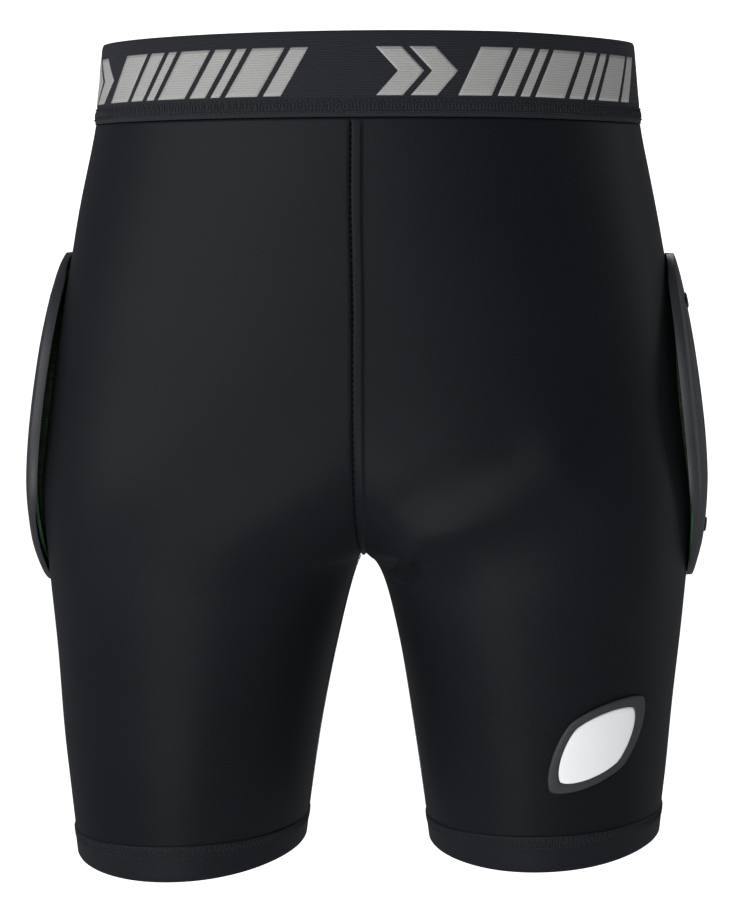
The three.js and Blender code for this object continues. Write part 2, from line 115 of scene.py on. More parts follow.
# height, half width, depth in front, depth behind, squareness; metres but for the last
LEVELS = np.array([
    [TOP, WAIST_HALF, 0.102, 0.100, 2.10],
    [TOP - RISE * 0.162, mix(WAIST_HALF, HIP_HALF, 0.135), 0.108, 0.108, 2.15],
    [TOP - RISE * 0.38, mix(WAIST_HALF, HIP_HALF, 0.475), 0.113, 0.121, 2.35],
    [TOP - RISE * 0.614, mix(WAIST_HALF, HIP_HALF, 0.8), 0.115, 0.131, 2.6],
    [TOP - RISE * 0.85, HIP_HALF, 0.112, 0.130, 2.6],
    [CROTCH, 0.175, 0.105, 0.117, 2.4],
    [CROTCH - INSEAM * 0.47, mix(0.175, 0.1605, 0.44), 0.089, 0.097, 2.2],
    [HEM, 0.1605, 0.072, 0.076, 2.1],
])
STEP = 1 * MM
HEIGHTS = np.arange(HEM - 20 * MM, TOP + 20 * MM, STEP)


def through_levels(column):
    z = LEVELS[:, 0]
    v = LEVELS[:, column]
    last = len(z) - 1
    slope = np.array([(v[min(i + 1, last)] - v[max(i - 1, 0)]) / (z[min(i + 1, last)] - z[max(i - 1, 0)])
                      for i in range(last + 1)])
    k = np.clip(np.searchsorted(-z, -HEIGHTS, side="right") - 1, 0, last - 1)
    span = z[k + 1] - z[k]
    t = (HEIGHTS - z[k]) / span
    t2 = t * t
    t3 = t2 * t
    return (v[k] * (2 * t3 - 3 * t2 + 1) + slope[k] * span * (t3 - 2 * t2 + t)
            + v[k + 1] * (3 * t2 - 2 * t3) + slope[k + 1] * span * (t3 - t2))


def softened(values, width):
    kernel = np.exp(-0.5 * (np.arange(-3 * width, 3 * width + 1) / width) ** 2)
    kernel /= kernel.sum()
    padded = np.pad(values, 3 * width, mode="edge")
    return np.convolve(padded, kernel, mode="valid")


def body_tables():
    outer = through_levels(1)
    climb = np.clip((HEIGHTS - CROTCH) / SADDLE, 0, 1)
    ratio = np.power(1 - climb, 1.6)
    drop = np.clip((CROTCH - HEIGHTS) / INSEAM, 0, 2)
    gap = LEG_GAP / 2 * (0.775 * np.sqrt(drop) + 0.225 * drop)
    above = HEIGHTS >= CROTCH
    middle = np.where(above, outer * ratio / (1 + ratio), (outer + gap) / 2)
    half = np.where(above, outer / (1 + ratio), (outer - gap) / 2)
    inner = middle - half
    middle_soft = softened(middle, 16)
    return {
        "middle": middle_soft,
        "half": outer - middle_soft,
        "inner": inner,
        "front": softened(through_levels(2), 8),
        "back": softened(through_levels(3), 8),
        "power": softened(through_levels(4), 8),
    }


TABLES = body_tables()


def table(key, z):
    return np.interp(z, HEIGHTS, TABLES[key])


def signed_power(v, p):
    return np.sign(v) * np.power(np.abs(v), p)


def skin(angle, z):
    """Outer face of the fabric on the wearer's left half; arrays of angle and height to points."""
    angle, z = np.broadcast_arrays(np.asarray(angle, float), np.asarray(z, float))
    power = table("power", z)
    middle = table("middle", z)
    half = table("half", z)
    depth = np.where(np.sin(angle) > 0, table("front", z), table("back", z))
    inward = np.power((1 - np.cos(angle)) / 2, 12)
    shift = (table("inner", z) - (middle - half)) * inward
    x = middle + half * signed_power(np.cos(angle), 2 / power) + shift
    y = -depth * signed_power(np.sin(angle), 2 / power)
    return np.stack([x, y, z], axis=-1)


def outward(angle, z):
    step = 0.012
    across = skin(angle + step, z) - skin(angle - step, z)
    along = skin(angle, z + 0.8 * MM) - skin(angle, z - 0.8 * MM)
    n = -np.cross(across, along)
    return n / np.linalg.norm(n, axis=-1, keepdims=True)


def angle_at(x, z, way=1):
    """Angle at which the section reaches x from the centre plane, in front (1) or behind (-1)."""
    low = np.zeros_like(np.asarray(z, float) + np.asarray(x, float))
    high = np.full_like(low, math.pi)
    for _ in range(30):
        mid = (low + high) / 2
        far = skin(way * mid, z)[..., 0] > x
        low = np.where(far, mid, low)
        high = np.where(far, high, mid)
    return way * (low + high) / 2


def ridge(px, pz, a, b, width, height, taper=1.0):
    """Soft fold along the line from a to b in the front view: height across a bell of the width."""
    ax, az = a
    dx, dz = b[0] - ax, b[1] - az
    length = math.hypot(dx, dz)
    t = ((px - ax) * dx + (pz - az) * dz) / length ** 2
    off = ((px - ax) * dz - (pz - az) * dx) / length
    ends = smooth((t + 0.15) / 0.3) * smooth((1.15 - t) / 0.3)
    spread = width * (1 + (taper - 1) * np.clip(t, 0, 1))
    return height * ends * np.exp(-0.5 * (off / spread) ** 2)


# Folds of the front, then of the back: side of the body, two ends (x, z in mm), width and height
# in mm, widening.
FRONT_FOLDS = [
    (1, (30, -261), (22, -280), 1.6, 2.4, 1.5),
    (1, (37, -269), (26, -284), 1.6, 2.3, 1.5),
    (1, (32, -265), (24, -284), 1.4, -1.8, 1.4),
    (1, (8, -262), (34, -260), 3.2, 1.6, 1.2),
    (1, (18, -262), (120, -216), 6.5, 3.8, 1.9),
    (1, (22, -238), (90, -206), 8.0, -1.6, 1.5),
    (1, (40, -286), (120, -244), 9.0, -1.6, 1.8),
]
BACK_FOLDS = [
    (1, (12, -262), (40, -292), 3.0, 1.4, 1.6),
    (1, (10, -250), (70, -276), 4.0, 1.6, 1.8),
    (1, (40, -272), (120, -262), 6.0, -1.6, 1.4),
    (-1, (12, -264), (34, -294), 3.2, 1.3, 1.6),
    (-1, (10, -252), (76, -280), 4.2, 1.7, 1.7),
    (-1, (44, -276), (122, -268), 6.5, -1.5, 1.4),
]


def drape(points, side, way):
    """Outward shift of the fabric that the folds of the front (1) or back (-1) give."""
    x = points[..., 0] / MM
    z = points[..., 2] / MM
    away = -points[..., 1] * way
    total = np.zeros(x.shape)
    for which, a, b, width, height, taper in (FRONT_FOLDS if way > 0 else BACK_FOLDS):
        if which == side:
            total += ridge(x, z, a, b, width, height, taper)
    return total * MM * smooth((away + 12 * MM) / (34 * MM))


def slack(angle, z):
    """Faint unevenness of the stretched cloth."""
    a = np.sin(3.1 * angle + z / MM / 47) * np.sin(z / MM / 31 + 1.3 * angle)
    b = np.sin(7.3 * angle - z / MM / 23) * np.sin(z / MM / 19 + 0.7)
    return (0.28 * a + 0.12 * b) * MM


def posture(points):
    """The stance of the form: one leg a little longer, the waist a little lower on the other side."""
    p = np.array(points, float)
    x, z = p[..., 0] / MM, p[..., 2] / MM
    crotch, top = CROTCH / MM, TOP / MM
    legs = smooth((crotch + 60 - z) / 160)
    waist = smooth((z - (top - 110)) / 110)
    arch = 1.6 * (1 - (x / 140) ** 2) + 0.9 * x / 140 - 1.2 * smooth((x - 70) / 70)
    hips = smooth((top - 70 - z) / 80) * smooth((z - (crotch - 110)) / 90)
    p[..., 2] += (np.clip(x / 95, -1.6, 1.6) * 4.6 * legs + arch * waist) * MM
    p[..., 0] += 1.9 * MM * hips * smooth((70 - x) / 110)
    return p


def stand_as_worn():
    """Gives every piece made so far the stance."""
    for obj in bpy.data.objects:
        if obj.type == "MESH" and obj.name in BUILT:
            flat = np.empty(len(obj.data.vertices) * 3)
            obj.data.vertices.foreach_get("co", flat)
            obj.data.vertices.foreach_set("co", posture(flat.reshape(-1, 3)).ravel())
            obj.data.update()


BUILT = []


# ---- mesh helpers ---------------------------------------------------------------------------------
def new_object(name, verts, faces, uv=None, material=None, smooth_shading=True):
    mesh = bpy.data.meshes.new(name)
    mesh.from_pydata([tuple(v) for v in np.asarray(verts, float)], [], [tuple(f) for f in faces])
    mesh.update()
    if uv is not None:
        layer = mesh.uv_layers.new(name="UVMap")
        index = np.empty(len(mesh.loops), np.int32)
        mesh.loops.foreach_get("vertex_index", index)
        layer.data.foreach_set("uv", np.asarray(uv, np.float32)[index].ravel())
    mesh.polygons.foreach_set("use_smooth", [smooth_shading] * len(mesh.polygons))
    if material is not None:
        mesh.materials.append(material)
    obj = bpy.data.objects.new(name, mesh)
    bpy.context.collection.objects.link(obj)
    return obj


def shell(name, outer, inner, uv, material, ring=False, disc=False):
    """Closed cloth or plate from two grids of points [row, column, 3]; a disc closes over row 0."""
    rows, columns = outer.shape[:2]
    verts = np.concatenate([outer.reshape(-1, 3), inner.reshape(-1, 3)])
    uvs = np.concatenate([uv.reshape(-1, 2)] * 2)
    base = rows * columns
    span = columns if ring else columns - 1
    i = np.arange(span)
    n = (i + 1) % columns
    faces = []
    for j in range(rows - 1):
        a, b = j * columns + i, j * columns + n
        c, d = (j + 1) * columns + n, (j + 1) * columns + i
        faces.append(np.stack([a, b, c, d], 1))
        faces.append(np.stack([a + base, d + base, c + base, b + base], 1))
    for j in ((rows - 1,) if disc else (0, rows - 1)):
        a, b = j * columns + i, j * columns + n
        quad = [a, a + base, b + base, b] if j == 0 else [a, b, b + base, a + base]
        faces.append(np.stack(quad, 1))
    if not ring:
        k = np.arange(rows - 1)
        for col in (0, columns - 1):
            a, b = k * columns + col, (k + 1) * columns + col
            quad = [a, b, b + base, a + base] if col == 0 else [a, a + base, b + base, b]
            faces.append(np.stack(quad, 1))
    faces = np.concatenate(faces).tolist()
    if disc:
        faces += [list(range(columns)), [base + k for k in reversed(range(columns))]]
    obj = new_object(name, verts, faces, uvs, material)
    face_out(obj)
    return obj


def face_out(obj):
    bm = bmesh.new()
    bm.from_mesh(obj.data)
    bmesh.ops.recalc_face_normals(bm, faces=bm.faces)
    if bm.calc_volume(signed=True) < 0:
        bmesh.ops.reverse_faces(bm, faces=bm.faces)
    bm.to_mesh(obj.data)
    bm.free()
    obj.data.update()


def on_side(points, side):
    p = np.array(points, float)
    p[..., 0] *= side
    return p


def grain_mesh(name, stitches, radius, material, sides=6):
    """One mesh of many stitches, each a rice-shaped thread from a to b lying on normal n."""
    profile = [(0.0, 0.25), (0.2, 0.85), (0.5, 1.0), (0.8, 0.85), (1.0, 0.25)]
    verts, faces = [], []
    for a, b, n in stitches:
        along = b - a
        along = along / max(np.linalg.norm(along), 1e-9)
        side = np.cross(along, n)
        side = side / max(np.linalg.norm(side), 1e-9)
        start = len(verts)
        for t, r in profile:
            lift = radius * (0.15 + 0.7 * math.sin(math.pi * t))
            centre = a + (b - a) * t + n * lift
            for k in range(sides):
                w = 2 * math.pi * k / sides
                verts.append(centre + (side * math.cos(w) + n * math.sin(w)) * radius * r)
        for ring_index in range(len(profile) - 1):
            for k in range(sides):
                p = start + ring_index * sides + k
                q = start + ring_index * sides + (k + 1) % sides
                faces.append((p, q, q + sides, p + sides))
        faces.append(tuple(start + k for k in reversed(range(sides))))
        end = start + (len(profile) - 1) * sides
        faces.append(tuple(end + k for k in range(sides)))
    obj = new_object(name, verts, faces, None, material)
    face_out(obj)
    return obj


def place(obj, slot, *nodes):
    BUILT.append(obj.name)
    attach(obj, "root")
    if nodes:
        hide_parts(*nodes)
    return obj


# ---- materials ------------------------------------------------------------------------------------
class Nodes:
    """Small helper that builds a node material."""

    def __init__(self, name):
        self.material = bpy.data.materials.new(name)
        self.material.use_nodes = True
        self.tree = self.material.node_tree
        self.bsdf = self.tree.nodes["Principled BSDF"]

    def add(self, kind, **settings):
        node = self.tree.nodes.new("ShaderNode" + kind)
        for key, value in settings.items():
            if key in node.inputs:
                node.inputs[key].default_value = value
            else:
                setattr(node, key, value)
        return node

    def link(self, a, out, b, into):
        self.tree.links.new(a.outputs[out], b.inputs[into])
        return b

    def texture(self, kind, where, **settings):
        node = self.add("Tex" + kind, **settings)
        return self.link(where, "Vector", node, "Vector")

    def roughness(self, value):
        self.tree.links.new(value[0].outputs[value[1]], self.bsdf.inputs["Roughness"])

    def coordinates(self, source):
        return self.link(self.add("TexCoord"), source, self.add("Mapping"), "Vector")

    def math(self, operation, a, b=None):
        node = self.add("Math", operation=operation)
        for slot, value in ((0, a), (1, b)):
            if value is None:
                continue
            if isinstance(value, (int, float)):
                node.inputs[slot].default_value = value
            else:
                self.tree.links.new(value[0].outputs[value[1]], node.inputs[slot])
        return (node, 0)

    def mix_colour(self, factor, dark, light):
        node = self.add("Mix", data_type="RGBA")
        node.inputs["A"].default_value = (*dark, 1)
        node.inputs["B"].default_value = (*light, 1)
        self.tree.links.new(factor[0].outputs[factor[1]], node.inputs["Factor"])
        self.tree.links.new(node.outputs["Result"], self.bsdf.inputs["Base Color"])

    def bump(self, height, distance, strength):
        node = self.add("Bump", Strength=strength, Distance=distance)
        self.tree.links.new(height[0].outputs[height[1]], node.inputs["Height"])
        self.link(node, "Normal", self.bsdf, "Normal")

    def set(self, **values):
        for key, value in values.items():
            name = key.replace("_", " ")
            self.bsdf.inputs[name].default_value = value


def sine_of(n, mapping, axis, turns):
    """Sine of one coordinate: turns per metre."""
    split = n.add("SeparateXYZ")
    n.link(mapping, "Vector", split, "Vector")
    scaled = n.math("MULTIPLY", (split, axis), turns * 2 * math.pi)
    return n.math("SINE", scaled)


KNIT_WALE, KNIT_COURSE = 0.75 * MM, 0.6 * MM
RIB_PITCH, WARP_PITCH = 1.25 * MM, 0.8 * MM


def knit_fabric(name, dark, light):
    """Fine stretch knit: wales up the cloth, courses across it, and a little uneven shine."""
    n = Nodes(name)
    uv = n.coordinates("UV")
    wales = sine_of(n, uv, "X", 1 / KNIT_WALE)
    courses = sine_of(n, uv, "Y", 1 / KNIT_COURSE)
    crossed = n.math("MULTIPLY", n.math("MULTIPLY", wales, courses), 0.5)
    weave = n.math("ADD", n.math("MULTIPLY", wales, 0.5), crossed)
    grain = n.texture("Noise", uv, Scale=950.0, Detail=2.0)
    cloud = n.texture("Noise", uv, Scale=9.0, Detail=3.0)
    shade = n.math("ADD", n.math("MULTIPLY", (cloud, "Fac"), 0.6), n.math("MULTIPLY", (grain, "Fac"), 1.8))
    n.mix_colour(n.math("SUBTRACT", shade, 0.7), dark, light)
    height = n.math("ADD", n.math("MULTIPLY", weave, 0.5), n.math("MULTIPLY", (grain, "Fac"), 1.2))
    n.bump(height, 0.06 * MM, 0.8)
    n.roughness(n.math("ADD", n.math("MULTIPLY", (grain, "Fac"), 0.1), 0.4))
    n.set(Sheen_Weight=0.01, Sheen_Roughness=0.5, Specular_IOR_Level=0.17)
    return n.material


def woven_elastic(name, dark, light, rough=0.75, depth=0.25):
    """Woven elastic: rubber-cored ribs along the band crossed by fine warp ends."""
    n = Nodes(name)
    uv = n.coordinates("UV")
    ribs = sine_of(n, uv, "Y", 1 / RIB_PITCH)
    ends = sine_of(n, uv, "X", 1 / WARP_PITCH)
    crossed = n.math("MULTIPLY", n.math("MULTIPLY", ribs, ends), 0.5)
    weave = n.math("ADD", n.math("MULTIPLY", ribs, 0.5), crossed)
    grain = n.texture("Noise", uv, Scale=1600.0, Detail=2.0)
    shade = n.math("ADD", n.math("MULTIPLY", weave, 0.28), (grain, "Fac"))
    n.mix_colour(shade, dark, light)
    n.bump(n.math("ADD", weave, (grain, "Fac")), depth * MM, 0.8)
    n.set(Roughness=rough, Sheen_Weight=0.03, Specular_IOR_Level=0.3)
    return n.material


def moulded_plastic(name, dark, light):
    """Injection-moulded plastic: fine spark-eroded grain, faint flow marks, painted highlight on the convex
    edges and painted shade in the hollows.
    """
    n = Nodes(name)
    place_at = n.coordinates("Object")
    grain = n.texture("Noise", place_at, Scale=1800.0, Detail=3.0)
    flow = n.texture("Noise", place_at, Scale=18.0, Detail=2.0)
    edge = n.add("NewGeometry")
    # pointiness paints the convex edges lighter (painted highlight) and the hollows and slot walls darker
    # (painted shade)
    pointy_edge_highlight_and_hollow_shade = n.math("MULTIPLY", n.math("SUBTRACT", (edge, "Pointiness"), 0.5), 3.0)
    shade = n.math("ADD", n.math("MULTIPLY", (flow, "Fac"), 0.8), pointy_edge_highlight_and_hollow_shade)
    n.mix_colour(shade, dark, light)
    n.bump((grain, "Fac"), 0.05 * MM, 0.7)
    n.roughness(n.math("ADD", n.math("MULTIPLY", (flow, "Fac"), 0.12), 0.34))
    return n.material


def cell_foam(name, dark, light):
    """Closed-cell foam with a skin of tiny pits."""
    n = Nodes(name)
    place_at = n.coordinates("Object")
    cells = n.texture("Voronoi", place_at, Scale=900.0)
    cloud = n.texture("Noise", place_at, Scale=60.0, Detail=3.0)
    n.mix_colour((cloud, "Fac"), dark, light)
    n.bump((cells, "Distance"), 0.25 * MM, 0.8)
    n.set(Roughness=0.85)
    return n.material


def open_mesh(name, thread, behind, pitch=2.2):
    """Air mesh: round holes in rows over a darker layer."""
    n = Nodes(name)
    uv = n.coordinates("UV")
    across = sine_of(n, uv, "X", 1000 / pitch)
    along = sine_of(n, uv, "Y", 1000 / pitch)
    product = n.math("MULTIPLY", across, along)
    hole = n.math("SMOOTH_MIN", n.math("MULTIPLY", n.math("ABSOLUTE", product), 2.5), 1.0)
    grain = n.texture("Noise", uv, Scale=1500.0, Detail=2.0)
    n.mix_colour(hole, thread, behind)
    n.bump(n.math("SUBTRACT", (grain, "Fac"), hole), 0.3 * MM, 0.9)
    n.set(Roughness=0.8, Sheen_Weight=0.1)
    return n.material


def thread(name, dark, light, rough=0.6, shine=0.4):
    n = Nodes(name)
    place_at = n.coordinates("Object")
    twist = n.texture("Wave", place_at, Scale=900.0, Distortion=1.0)
    n.mix_colour((twist, "Fac"), dark, light)
    n.bump((twist, "Fac"), 0.08 * MM, 0.8)
    n.set(Roughness=rough, Specular_IOR_Level=shine)
    return n.material


def painted_metal(name):
    n = Nodes(name)
    place_at = n.coordinates("Object")
    fleck = n.texture("Noise", place_at, Scale=700.0, Detail=4.0)
    n.mix_colour((fleck, "Fac"), (0.02, 0.021, 0.024), (0.07, 0.072, 0.08))
    n.bump((fleck, "Fac"), 0.04 * MM, 0.6)
    n.set(Metallic=0.6, Roughness=0.36)
    return n.material


def soft_rubber(name, dark, light, rough=0.55):
    n = Nodes(name)
    place_at = n.coordinates("Object")
    grain = n.texture("Noise", place_at, Scale=900.0, Detail=3.0)
    n.mix_colour((grain, "Fac"), dark, light)
    n.bump((grain, "Fac"), 0.06 * MM, 0.7)
    n.set(Roughness=rough)
    return n.material


STRETCH = knit_fabric("stretch_knit", (0.003, 0.0037, 0.005), (0.0095, 0.0115, 0.015))
BAND_CLOTH = knit_fabric("leg_band_knit", (0.005, 0.006, 0.008), (0.015, 0.0175, 0.022))
ELASTIC = woven_elastic("waist_elastic", (0.007, 0.008, 0.011), (0.026, 0.029, 0.038))
SILVER = woven_elastic("silver_weave", (0.27, 0.268, 0.262), (0.50, 0.495, 0.485), rough=0.6, depth=0.1)
SHELL = moulded_plastic("shield_plastic", (0.014, 0.016, 0.019), (0.045, 0.049, 0.056))
GREEN = cell_foam("green_foam", (0.03, 0.13, 0.035), (0.10, 0.27, 0.10))
SPACER = open_mesh("spacer_mesh", (0.012, 0.013, 0.014), (0.02, 0.05, 0.02), 3.0)
FOAM = cell_foam("black_foam", (0.010, 0.010, 0.011), (0.03, 0.03, 0.032))
LINING = open_mesh("lining_mesh", (0.02, 0.022, 0.026), (0.004, 0.004, 0.005))
THREAD = thread("black_thread", (0.009, 0.010, 0.013), (0.030, 0.032, 0.038))
DARK_THREAD = thread("seam_thread", (0.0015, 0.0015, 0.002), (0.004, 0.004, 0.005), 0.9, 0.05)
RIVET = painted_metal("rivet_paint")
BADGE_EDGE = soft_rubber("badge_edge", (0.022, 0.024, 0.028), (0.05, 0.053, 0.06))
BADGE_FACE = soft_rubber("badge_face", (0.84, 0.85, 0.86), (0.93, 0.94, 0.95), 0.42)
LABEL = woven_elastic("label_cloth", (0.55, 0.55, 0.52), (0.78, 0.78, 0.75), 0.85, 0.12)

# ---- body panels ----------------------------------------------------------------------------------
PANEL_TOP = BAND_BOTTOM + 9 * MM
PANEL_BOTTOM = HEM_JOIN - 0.4 * MM
TUCK = 1.7 * MM
SEWN_WITHIN = 1.5 * MM  # rows that start this near the middle are sewn to the other side's panel


FAN_TOP = TOP - 58 * MM
FAN_BOTTOM = -402 * MM
THIGH_ANGLE = math.pi - 0.0002


def centre_line(way):
    """The panel's inner edge: down the centre seam to the crotch, then down the inner thigh."""
    above = np.linspace(0, 1, 700)
    z = CROTCH + (PANEL_TOP - CROTCH) * above[::-1] ** 3
    angle = np.minimum(np.abs(angle_at(0.2 * MM, z, way)), THIGH_ANGLE)
    below = np.linspace(CROTCH - 0.2 * MM, PANEL_BOTTOM, 300)
    z = np.concatenate([z, below])
    angle = way * np.concatenate([angle, np.full(300, THIGH_ANGLE)])
    line = skin(angle, z)
    run = np.concatenate([[0], np.cumsum(np.linalg.norm(np.diff(line, axis=0), axis=1))])
    return run, angle, z


def row_ends(way, spacing=2.3 * MM):
    """Angle and height where each row starts on the centre line, and its height at the side seam."""
    run, angle, z = centre_line(way)
    first = np.interp(-FAN_TOP, -z, run)
    last = np.interp(-FAN_BOTTOM, -z, run)
    tuck = [0, np.interp(-(BAND_BOTTOM - 0.2 * MM), -z, run), np.interp(-(BAND_BOTTOM - 0.55 * MM), -z, run)]
    upper = np.linspace(tuck[-1] + 1.5 * MM, first, 8)
    middle = np.linspace(first, last, int((last - first) / spacing))[1:-1]
    lower = np.concatenate([np.linspace(last, run[-1] - 3 * MM, 7), [run[-1] - 1.2 * MM, run[-1]]])
    where = np.concatenate([tuck, upper, middle, lower])
    start_z = np.interp(where, run, z)
    start_angle = np.interp(where, run, angle)
    share = np.clip((where - first) / (last - first), 0, 1)
    fanned = mix(FAN_TOP, FAN_BOTTOM, share)
    side_z = np.where((where > first) & (where < last), fanned, start_z)
    return start_angle, start_z, side_z


def row_columns(length, count=96, close=15, first=0.7 * MM):
    """Places across a row, counted from the centre seam: close together near the seam."""
    near = np.arange(close) * first
    far = near[-1] + (length - near[-1]) * np.linspace(0, 1, count - close + 1)[1:] ** 1.06
    return np.concatenate([near, far])


def panel_grid(way):
    """Angles, heights and arc distances of the grid of one panel, front (1) or back (-1)."""
    angles, heights, arcs = [], [], []
    along = np.linspace(0, 1, 420)
    for start_angle, start_z, side_z in zip(*row_ends(way)):
        sample = mix(start_angle, SEAM_ANGLE + way * 0.00005, along)
        z = mix(start_z, side_z, smooth(along * 1.15))
        line = skin(sample, z)
        arc = np.concatenate([[0], np.cumsum(np.linalg.norm(np.diff(line, axis=0), axis=1))])
        where = row_columns(arc[-1])
        angles.append(np.interp(where, arc, sample))
        heights.append(np.interp(where, arc, z))
        arcs.append(where)
    return np.array(angles), np.array(heights), np.array(arcs)


def seam_swell(arc, points):
    """The folded seam allowance under the cloth, one side of the centre seam."""
    width = 5.0 * MM
    z = points[..., 2]
    step = smooth(arc / (0.7 * MM)) * smooth((width + 0.9 * MM - arc) / (1.1 * MM))
    fade = smooth((np.abs(points[..., 1]) - 14 * MM) / (22 * MM))
    fade = fade * smooth((BAND_BOTTOM - 1.5 * MM - z) / (3 * MM))
    return (0.75 + 1.3 * smooth((CROTCH + 22 * MM - z) / (20 * MM))) * MM * step * fade


def panel(name, way, side, seams, *nodes):
    angles, z, arcs = panel_grid(way)
    normal = outward(angles, z)
    points = skin(angles, z)
    lift = np.where(z > BAND_BOTTOM - 0.35 * MM, -TUCK, 0)
    if side > 0:
        lift = lift + seam_swell(arcs, points)
    lift = lift - 0.5 * MM * np.exp(-(arcs / (0.9 * MM)) ** 2) * (z < BAND_BOTTOM - 1.2 * MM)
    lift = lift + drape(points, side, way)
    free = smooth((BAND_BOTTOM - z) / (25 * MM)) * smooth((z - PANEL_BOTTOM) / (25 * MM))
    lift = lift + slack(angles * side, z) * free
    outer = points + normal * lift[..., None]
    outer[..., 0] = np.maximum(outer[..., 0], 0.15 * MM)
    inner = outer - normal * FABRIC
    inner[..., 0] = np.maximum(inner[..., 0], 0.15 * MM)
    sewn = points[:, 0, 0] < SEWN_WITHIN
    outer[sewn, 0, 0] = 0
    inner[sewn, 0, 0] = 0
    uv = np.stack([arcs, z], axis=-1)
    obj = shell(name, on_side(outer, side), on_side(inner, side), uv, STRETCH)
    place(obj, "stretch_fabric", *nodes)
    return obj


# ---- rings: waistband and leg bands -----------------------------------------------------------------
def ring_points(count, heights, offset, dips=None):
    angle = np.linspace(0, 2 * math.pi, count, endpoint=False)
    angles = np.repeat(angle[None, :], len(heights), axis=0)
    z = np.repeat(np.asarray(heights)[:, None], count, axis=1)
    if dips is not None:
        z = z - np.asarray(dips)[:, None] * np.sin(angles) ** 2
    offsets = np.repeat(np.asarray(offset)[:, None], count, axis=1)
    points = skin(angles, z) + outward(angles, z) * offsets[..., None]
    step = np.linalg.norm(np.diff(points[0], axis=0, append=points[0][:1]), axis=1)
    arc = np.concatenate([[0], np.cumsum(step)[:-1]])
    uv = np.stack([np.repeat(arc[None, :], len(heights), axis=0), z], axis=-1)
    return angles, z, points, uv, float(step.sum())


def waistband():
    upper = np.concatenate([[TOP], TOP - np.array([0.5, 1.2]) * MM])
    middle = np.linspace(TOP - 2.5 * MM, BAND_BOTTOM + 1.4 * MM, 34)
    heights = np.concatenate([upper, middle, [BAND_BOTTOM + 0.6 * MM, BAND_BOTTOM]])
    depth = (heights - TOP) / MM
    swell = 0.8 - 0.45 * np.exp(-(depth / 1.0) ** 2) - 0.45 * np.exp(-((depth + 42) / 0.9) ** 2)
    swell -= 0.22 * np.exp(-((depth + 33.6) / 0.9) ** 2)
    outer_offset = swell * MM
    _, _, outer, uv, girth = ring_points(360, heights, outer_offset)
    _, _, inner, _, _ = ring_points(360, heights, np.full(len(heights), -0.8 * MM))
    obj = shell("waistband_elastic_woven", outer, inner, uv, ELASTIC, ring=True)
    place(obj, "elastic", "waistband_elastic")
    return obj, girth


def band_point(arc, z, off):
    """Point of the waistband at a distance along it from the centre front, and its normal."""
    angle = np.interp(arc, BAND_ARC, BAND_ANGLE)
    p = skin(angle, z) + outward(angle, z) * off
    return p, outward(angle, z)


def band_arcs():
    """Distance along the waistband from the centre front, positive to the wearer's left."""
    angle = np.linspace(math.pi / 2 + 2 * math.pi, math.pi / 2 - 2 * math.pi, 2880)
    line = skin(angle, np.full(angle.shape, TOP - 20 * MM))
    arc = np.concatenate([[0], np.cumsum(np.linalg.norm(np.diff(line, axis=0), axis=1))])
    return arc - arc[len(arc) // 2], angle


BAND_ARC, BAND_ANGLE = band_arcs()
BAND_GIRTH = (BAND_ARC[-1] - BAND_ARC[0]) / 2


def band_patch(verts, faces, uvs, outline, low, high):
    """Adds a thin raised patch to the lists: outline(t) gives its left and right edge at each height."""
    rows, columns = 13, 9
    start = len(verts)
    for layer_off in (0.96 * MM, 0.6 * MM):
        for j in range(rows):
            t = j / (rows - 1)
            left, right = outline(t)
            for i in range(columns):
                arc = mix(left, right, i / (columns - 1)) * MM
                z = mix(low, high, t) * MM
                point, _ = band_point(arc, z, layer_off)
                verts.append(point)
                uvs.append((arc, z))
    base = rows * columns
    def vid(i, j, k):
        return start + k * base + j * columns + i
    for j in range(rows - 1):
        for i in range(columns - 1):
            faces.append((vid(i, j, 0), vid(i + 1, j, 0), vid(i + 1, j + 1, 0), vid(i, j + 1, 0)))
            faces.append((vid(i, j, 1), vid(i, j + 1, 1), vid(i + 1, j + 1, 1), vid(i + 1, j, 1)))
    for j in range(rows - 1):
        faces.append((vid(0, j, 0), vid(0, j + 1, 0), vid(0, j + 1, 1), vid(0, j, 1)))
        c = columns - 1
        faces.append((vid(c, j, 0), vid(c, j, 1), vid(c, j + 1, 1), vid(c, j + 1, 0)))
    for i in range(columns - 1):
        faces.append((vid(i, 0, 0), vid(i, 0, 1), vid(i + 1, 0, 1), vid(i + 1, 0, 0)))
        r = rows - 1
        faces.append((vid(i, r, 0), vid(i + 1, r, 0), vid(i + 1, r, 1), vid(i, r, 1)))


def silver_bars():
    """Plain slanted bars and arrowheads woven round the elastic, four repeats."""
    verts, faces, uvs = [], [], []
    low, high = -32.0, -8.0
    slant = 13.0
    repeat = BAND_GIRTH / MM / 4
    for k in range(4):
        base = 12 + k * repeat
        for lead, wide in ((0, 13), (17, 13)):
            def arrow(t, lead=lead, wide=wide):
                point = 11 * (1 - abs(2 * t - 1))
                return base + lead + point, base + lead + point + wide
            band_patch(verts, faces, uvs, arrow, low, high)
        start = 47
        for wide in (17, 9, 5, 17, 9, 5, 17, 9):
            def bar(t, start=start, wide=wide):
                lean = slant * (t - 0.5)
                return base + start + lean, base + start + wide + lean
            band_patch(verts, faces, uvs, bar, low, high)
            start += wide + 3.2
    obj = new_object("waistband_silver_bars", verts, faces, uvs, SILVER)
    face_out(obj)
    place(obj, "elastic")
    return obj


